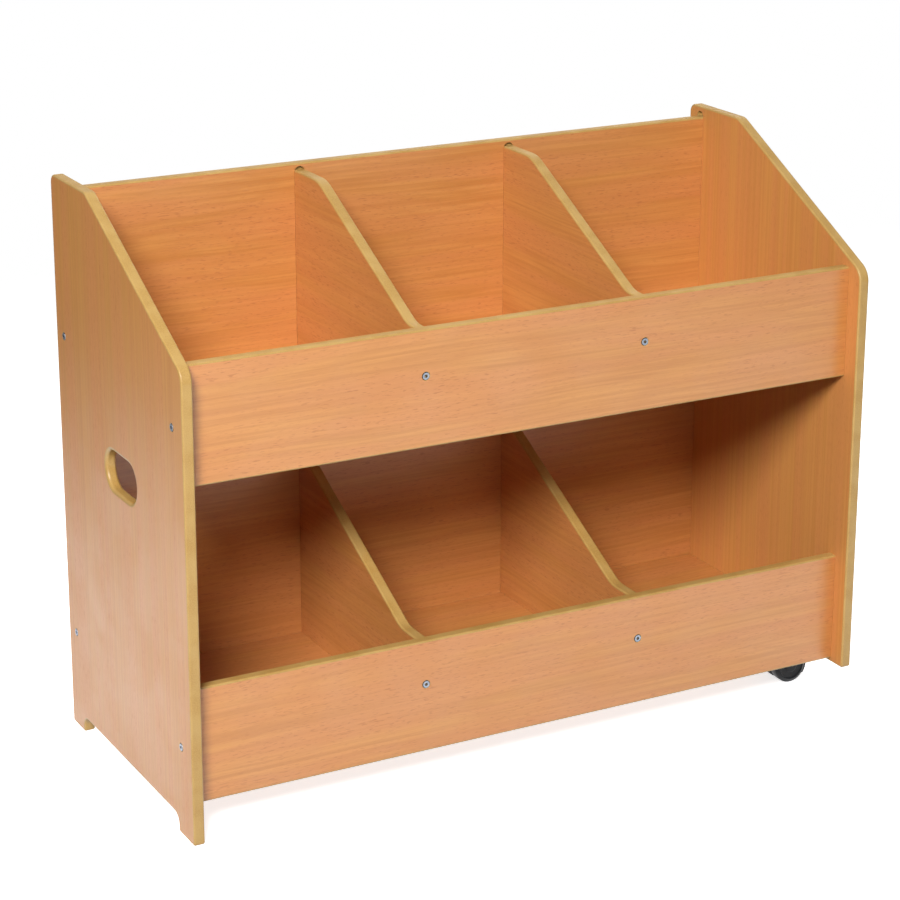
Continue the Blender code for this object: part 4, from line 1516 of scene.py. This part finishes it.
# ---------------------------------------------------------------- castors
@dataclass
class Castor(Assembly):
    """One twin-wheel furniture castor.

    A rounding is given by its radius, its number of steps and the flat band beside it.
    """

    row: str
    wheel_radius: float = 0.025
    wheel_inner: float = 0.0038
    wheel_outer: float = 0.0205
    bore: float = 0.0033
    bore_reach: float = 0.006  # half of the axle hole's length through the housing
    axle_half: float = 0.0173
    hood_clearance: float = 0.0020
    hood_thickness: float = 0.0025
    hood_half_width: float = 0.0145
    hood_start: float = -38.0
    hood_end: float = 150.0
    hood_cutback: float = 4.0  # degrees by which the hood's outer side starts later
    hood_rounding: tuple = (0.0008, 3, 0.0001)
    well_half_width: float = 0.030
    well_rounding: tuple = (0.001, 2)
    web_start: float = 18.0
    web_cutback: float = 2.0
    web_half_width: float = 0.0032
    web_rounding: tuple = (0.0006, 2, 0.0001)
    web_foot: Point = (200, 340)  # degrees of the hub that the web ends on
    hub_radius: float = 0.0080
    race_radius: float = 0.0160
    race_round: float = 0.0012
    waist_rise: float = 0.0025  # the race's lower edge above the wheels
    waist_slope: float = 0.002
    boss_radius: float = 0.0125
    boss_taper: Point = (0.003, 0.004)  # across and along
    kingpin_radius: float = 0.0040
    kingpin_chamfer: float = 0.0005
    kingpin_root: float = 0.001  # how far the kingpin reaches into the plate
    bore_overrun: float = 0.002
    plate_round: float = 0.0006
    plate_steps: int = 3
    plate_corner: float = 0.0040
    plate_screw_radius: float = 0.0021
    plate_screw_proud: float = 0.0021
    plate_hole_lip: float = 0.0003

    def __post_init__(self) -> None:
        """Read the castor's own places."""
        self.body = f"{self.row}_castor"
        self.kingpin = self.places.boxes[f"{self.body}_plate"]
        self.axle = self.places.middle(f"{self.body}_axle")
        middle = self.places.middle(f"{self.body}_plate")
        self.pivot = Vector((middle.x, middle.y, 0.0))

    def wheel_profile(self) -> list[Point]:
        """Half section of a wheel: crowned tread, dished face and raised hub cap.

        Returns:
            Pairs of radius and place along the axle.
        """
        radius, inner, outer = self.wheel_radius, self.wheel_inner, self.wheel_outer
        bore = [(0.0, self.axle_half), (self.bore, self.axle_half), (self.bore, inner)]
        tread = [(radius - 0.0020, inner), (radius - 0.0008, inner + 0.0004), (radius, inner + 0.0016)]
        turns = [math.radians(angle) for angle in range(0, 91, 15)]
        shoulder = [
            (radius - 0.0015 + 0.0015 * math.cos(turn), outer - 0.0050 + 0.0028 * math.sin(turn)) for turn in turns
        ]
        rim = [
            (radius - inset, outer - sink) for inset, sink in (
                (0.0035, 0.0012), (0.0045, 0.0003), (0.0055, 0.0),
                (0.0064, 0.0002), (0.0070, 0.0011), (0.0080, 0.0014),
            )
        ]
        hub = [
            (radius * share, outer - sink) for share, sink in (
                (0.40, 0.0014), (0.37, 0.0012), (0.345, 0.0004), (0.32, 0.0001), (0.29, 0.0), (0.0, 0.0),
            )
        ]
        return bore + tread + shoulder + rim + hub

    def boss_profile(self, top: float) -> list[Point]:
        """Half section of the race and the boss under it.

        Args:
            top: height of the race's upper face.

        Returns:
            Pairs of radius and height.
        """
        race, boss, rounding = self.race_radius, self.boss_radius, self.race_round
        base = self.wheel_radius + self.hub_radius
        waist = 2 * self.wheel_radius + self.waist_rise
        return [
            (0.0, top), (race - rounding, top), (race - rounding / 3, top - rounding / 4), (race, top - rounding),
            (race, waist), (boss, waist - self.waist_slope), (boss, base + self.boss_taper[1]),
            (boss - self.boss_taper[0], base), (0.0, base),
        ]

    def blade(self, label: str, points: list[Point], half: float, rounding: tuple) -> bpy.types.Object:
        """Make a flat part of the moulding, on both sides of the castor's middle."""
        slab = Slab(Plane.XZ, self.pivot.y - half, self.pivot.y + half, *rounding)
        return slab.make(f"{self.body}_housing_{label}", points)

    def rod(
        self, label: str, radius: float, ends: Point, centre: Vector, axis: Vector, sides: int,
    ) -> bpy.types.Object:
        """Make a plain round rod, to drill a hole with."""
        profile = [(0.0, ends[0]), (radius, ends[0]), (radius, ends[1]), (0.0, ends[1])]
        return Turning(profile, centre, axis, sides).make(f"{self.body}_housing_{label}")

    def housing(self) -> bpy.types.Object:
        """Make the swivelling housing: race, boss, hood and web in one moulding.

        Returns:
            The piece.
        """
        hub = (self.axle.x, self.axle.z)
        top = self.places.high(f"{self.body}_housing").z
        inner = self.wheel_radius + self.hood_clearance
        boss = Turning(self.boss_profile(top), self.pivot, UP, 64).make(f"{self.body}_housing_boss")
        well = self.blade("well", circle(hub, inner, 72), self.well_half_width, self.well_rounding)
        arch = arc(hub, inner + self.hood_thickness, self.hood_start + self.hood_cutback, self.hood_end, 4.0)
        arch += arc(hub, inner, self.hood_end, self.hood_start, 4.0)
        hood = self.blade("hood", arch, self.hood_half_width, self.hood_rounding)
        rim = arc(hub, inner + self.hood_thickness / 2, self.web_start, self.hood_end - self.web_cutback, 4.0)
        rim += arc(hub, self.hub_radius, *self.web_foot, 10.0)
        web = self.blade("web", rim, self.web_half_width, self.web_rounding)
        ends = (self.kingpin[0].z - GAP, top + self.bore_overrun)
        bore = self.rod("bore", self.kingpin_radius + GAP, ends, self.pivot, UP, 36)
        centre = Vector((self.axle.x, self.pivot.y, self.axle.z))
        pin = self.rod("pin", self.bore, (-self.bore_reach, self.bore_reach), centre, Y_WAY, 32)
        return combined(f"{self.body}_housing_moulding", boss, [
            (well, "DIFFERENCE"), (hood, "UNION"), (web, "UNION"), (bore, "DIFFERENCE"), (pin, "DIFFERENCE"),
        ])

    def plate(self) -> bpy.types.Object:
        """Make the mounting plate with its kingpin and screw holes.

        Returns:
            The piece.
        """
        name = f"{self.body}_plate"
        low, high = self.kingpin
        screws = [self.places.middle(node) for node in self.places.named(f"{self.body}_screw_")]
        bottom = self.places.low(f"{self.body}_screw_1").z + self.plate_screw_proud
        holes = [
            Recess(circle((spot.x, spot.y), self.plate_screw_radius, 24), Face.THROUGH, lip=self.plate_hole_lip)
            for spot in screws
        ]
        sheet = Slab(Plane.XY, bottom, high.z, self.plate_round, self.plate_steps, recesses=holes)
        flat = sheet.make(f"{name}_sheet", rectangle((low.x, low.y), (high.x, high.y), self.plate_corner))
        root, radius = bottom + self.kingpin_root, self.kingpin_radius
        pin = Turning([
            (0.0, root), (radius, root), (radius, low.z + self.kingpin_chamfer),
            (radius - self.kingpin_chamfer, low.z), (0.0, low.z),
        ], self.pivot, UP, 40).make(f"{name}_pin")
        return combined(f"{name}_pressing", flat, [(pin, "UNION")])

    def build(self) -> None:
        """Make the castor and hang its pieces on their bodies."""
        plate = self.plate()
        dress(plate, self.palette.plate)
        settle(plate, "cart", "castor_plate_steel", f"{self.body}_plate")
        housing = self.housing()
        dress(housing, self.palette.hood)
        settle(housing, self.body, "castor_hood_black", f"{self.body}_housing")
        for label, way in (("near", -Y_WAY), ("far", Y_WAY)):
            node = f"{self.body}_{label}_wheel"
            wheel = Turning(self.wheel_profile(), self.axle, way, 96).make(f"{node}_moulding")
            dress(wheel, self.palette.wheel)
            settle(wheel, node, "castor_wheel_black", node)
        log.info("%s castor: plate, housing and two wheels", self.row)


# ---------------------------------------------------------------- studio
@dataclass(frozen=True)
class Softbox:
    """One large soft lamp, by its direction from the cart."""

    name: str
    azimuth: float
    elevation: float
    distance: float
    size: float
    power: float
    mirrored: bool = True  # whether glossy surfaces show it

    def build(self, aim: Vector) -> None:
        """Hang the lamp and turn it towards the cart.

        Args:
            aim: the cart's middle.
        """
        lamp = bpy.data.lights.new(self.name, "AREA")
        lamp.shape = "DISK"
        lamp.size = self.size
        lamp.energy = self.power
        holder = linked(self.name, lamp)
        holder.visible_glossy = self.mirrored
        away = bearing(self.azimuth, self.elevation)
        holder.location = aim + away * self.distance
        holder.rotation_euler = away.to_track_quat("Z", "Y").to_euler()


@dataclass
class Studio:
    """Pale floor, soft lamps, white surround and the camera."""

    lens: float = 105.071
    sensor: float = 36.0
    shift: float = -0.10
    sight: float = 60.0  # how far the camera sees
    standpoint: Vector = field(default_factory=lambda: Vector((-1.6165, -2.951, 1.5282)))
    azimuth: float = -28.309
    elevation: float = 16.942
    roll: float = 0.111
    floor_half: float = 9.0
    floor_centre: Point = (0.4, -0.9)
    floor_clear: float = 1.6  # the floor fades into the white surround between these distances
    floor_end: float = 3.4
    floor_tone: Triple = (0.93, 0.93, 0.93)
    floor_bounce: Triple = (0.22, 0.22, 0.23)  # its tone for the light that it throws back
    floor_glow: float = 0.75
    floor_gloss: float = 1.50
    floor_roughness: float = 0.9
    floor_shine: float = 0.1
    surround: float = 0.125
    low_gloss: float = 0.10  # the surround in reflections, below the horizon and above it
    high_gloss: float = 0.50
    horizon: Point = (-0.06, 0.10)
    lamps: tuple[Softbox, ...] = (
        Softbox("key_softbox", -39.0, 34.5, 4.8, 1.47, 282.0),
        Softbox("fill_softbox", 15.0, 30.0, 3.6, 2.4, 8.5),
        Softbox("top_softbox", 0.0, 80.0, 3.0, 2.6, 4.5),
        Softbox("rear_softbox", 146.0, 30.0, 4.2, 2.6, 150.0, mirrored=False),
    )

    def camera(self) -> None:
        """Place the camera and make it the scene's own."""
        back = bearing(self.azimuth, self.elevation)
        right = (-back).cross(UP).normalized()
        above = right.cross(-back)
        tilt = math.radians(self.roll)
        turned_right = right * math.cos(tilt) + above * math.sin(tilt)
        turned_above = above * math.cos(tilt) - right * math.sin(tilt)
        matrix = Matrix((turned_right, turned_above, back)).transposed().to_4x4()
        matrix.translation = self.standpoint
        lens = bpy.data.cameras.new("camera")
        lens.lens = self.lens
        lens.sensor_width = self.sensor
        lens.shift_y = self.shift
        lens.clip_end = self.sight
        camera = linked("camera", lens)
        camera.matrix_world = matrix
        bpy.context.scene.camera = camera

    def floor(self) -> None:
        """Lay the pale floor."""
        half = self.floor_half
        mesh = bpy.data.meshes.new("studio_floor")
        spots = [(-half, -half, 0), (half, -half, 0), (half, half, 0), (-half, half, 0)]
        mesh.from_pydata(spots, [], [(0, 1, 2, 3)])
        floor = linked("studio_floor", mesh)
        coat = Coat("pale_floor", start=(-self.floor_centre[0], -self.floor_centre[1], 0.0))
        sheet = coat.sheet
        path = sheet.add("ShaderNodeLightPath").outputs
        seen = sheet.times(path["Is Camera Ray"], self.floor_glow)
        mirrored = sheet.times(path["Is Glossy Ray"], self.floor_gloss)
        reach = sheet.add("ShaderNodeVectorMath", {0: coat.spot}, operation="LENGTH").outputs["Value"]
        mesh.materials.append(coat.close({
            "Base Color": sheet.blend(path["Is Diffuse Ray"], self.floor_tone, self.floor_bounce),
            "Emission Color": WHITE,
            "Emission Strength": sheet.plus(seen, mirrored),
            "Alpha": sheet.ramp(reach, self.floor_clear, self.floor_end, 1.0, 0.0),
            "Roughness": self.floor_roughness,
            "Specular IOR Level": self.floor_shine,
        }))
        floor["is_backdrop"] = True

    def world(self) -> None:
        """Fill the surround: white to look at, softer as a light."""
        world = bpy.data.worlds.new("studio")
        bpy.context.scene.world = world
        world.use_nodes = True
        sheet = Sheet(world.node_tree)
        light = world.node_tree.nodes["Background"]
        path = sheet.add("ShaderNodeLightPath").outputs
        seen = sheet.times(path["Is Camera Ray"], 1.0 - self.surround)
        way = sheet.add("ShaderNodeTexCoord").outputs["Generated"]
        rise = sheet.add("ShaderNodeSeparateXYZ", {0: way}).outputs["Z"]
        gloss = sheet.ramp(rise, *self.horizon, self.low_gloss, self.high_gloss)
        mirrored = sheet.times(path["Is Glossy Ray"], sheet.minus(gloss, self.surround))
        sheet.feed(light, "Color", WHITE)
        sheet.feed(light, "Strength", sheet.plus(sheet.plus(seen, mirrored), self.surround))

    def build(self, low: Vector, high: Vector) -> None:
        """Set up the studio.

        Args:
            low: lowest corner of the cart's box.
            high: its highest corner.
        """
        for lamp in self.lamps:
            lamp.build((low + high) / 2)
        self.floor()
        self.world()
        self.camera()
        bpy.context.scene.view_settings.view_transform = "Standard"
        log.info("studio: %d lamps", len(self.lamps))


# ---------------------------------------------------------------- the whole cart
def dress_hidden(frame: dict, palette: Palette) -> None:
    """Give the frame's own dowels and axles their finishes.

    Args:
        palette: the finishes.
    """
    for name, node in frame["nodes"].items():
        if name.startswith("dowel_"):
            dress(node, palette.dowel)
        elif name.endswith("_axle"):
            dress(node, palette.axle)
    log.info("dowels and axles dressed")


def corners(box: Sequence[Sequence[float]]) -> list[list[float]]:
    """A box as plain lists of numbers."""
    return [[float(value) for value in corner] for corner in box]


def main() -> None:
    """Build the cart's looks around its frame."""
    logging.basicConfig(level=logging.INFO, format="%(name)s: %(message)s")
    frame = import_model()
    solid_box = corners(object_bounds())
    places = Places(frame)
    palette = Palette()
    for boards in (SidePanels, LongPanels, Dividers):
        boards(places, palette).build()
    Screws(places, palette).build()
    for row in ("front", "rear"):
        Castor(places, palette, row).build()
    dress_hidden(frame, palette)
    Studio().build(*(Vector(corner) for corner in solid_box))
    {"solid_box": solid_box, "visual_box": corners(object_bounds())}


if __name__ == "__main__":
    main()
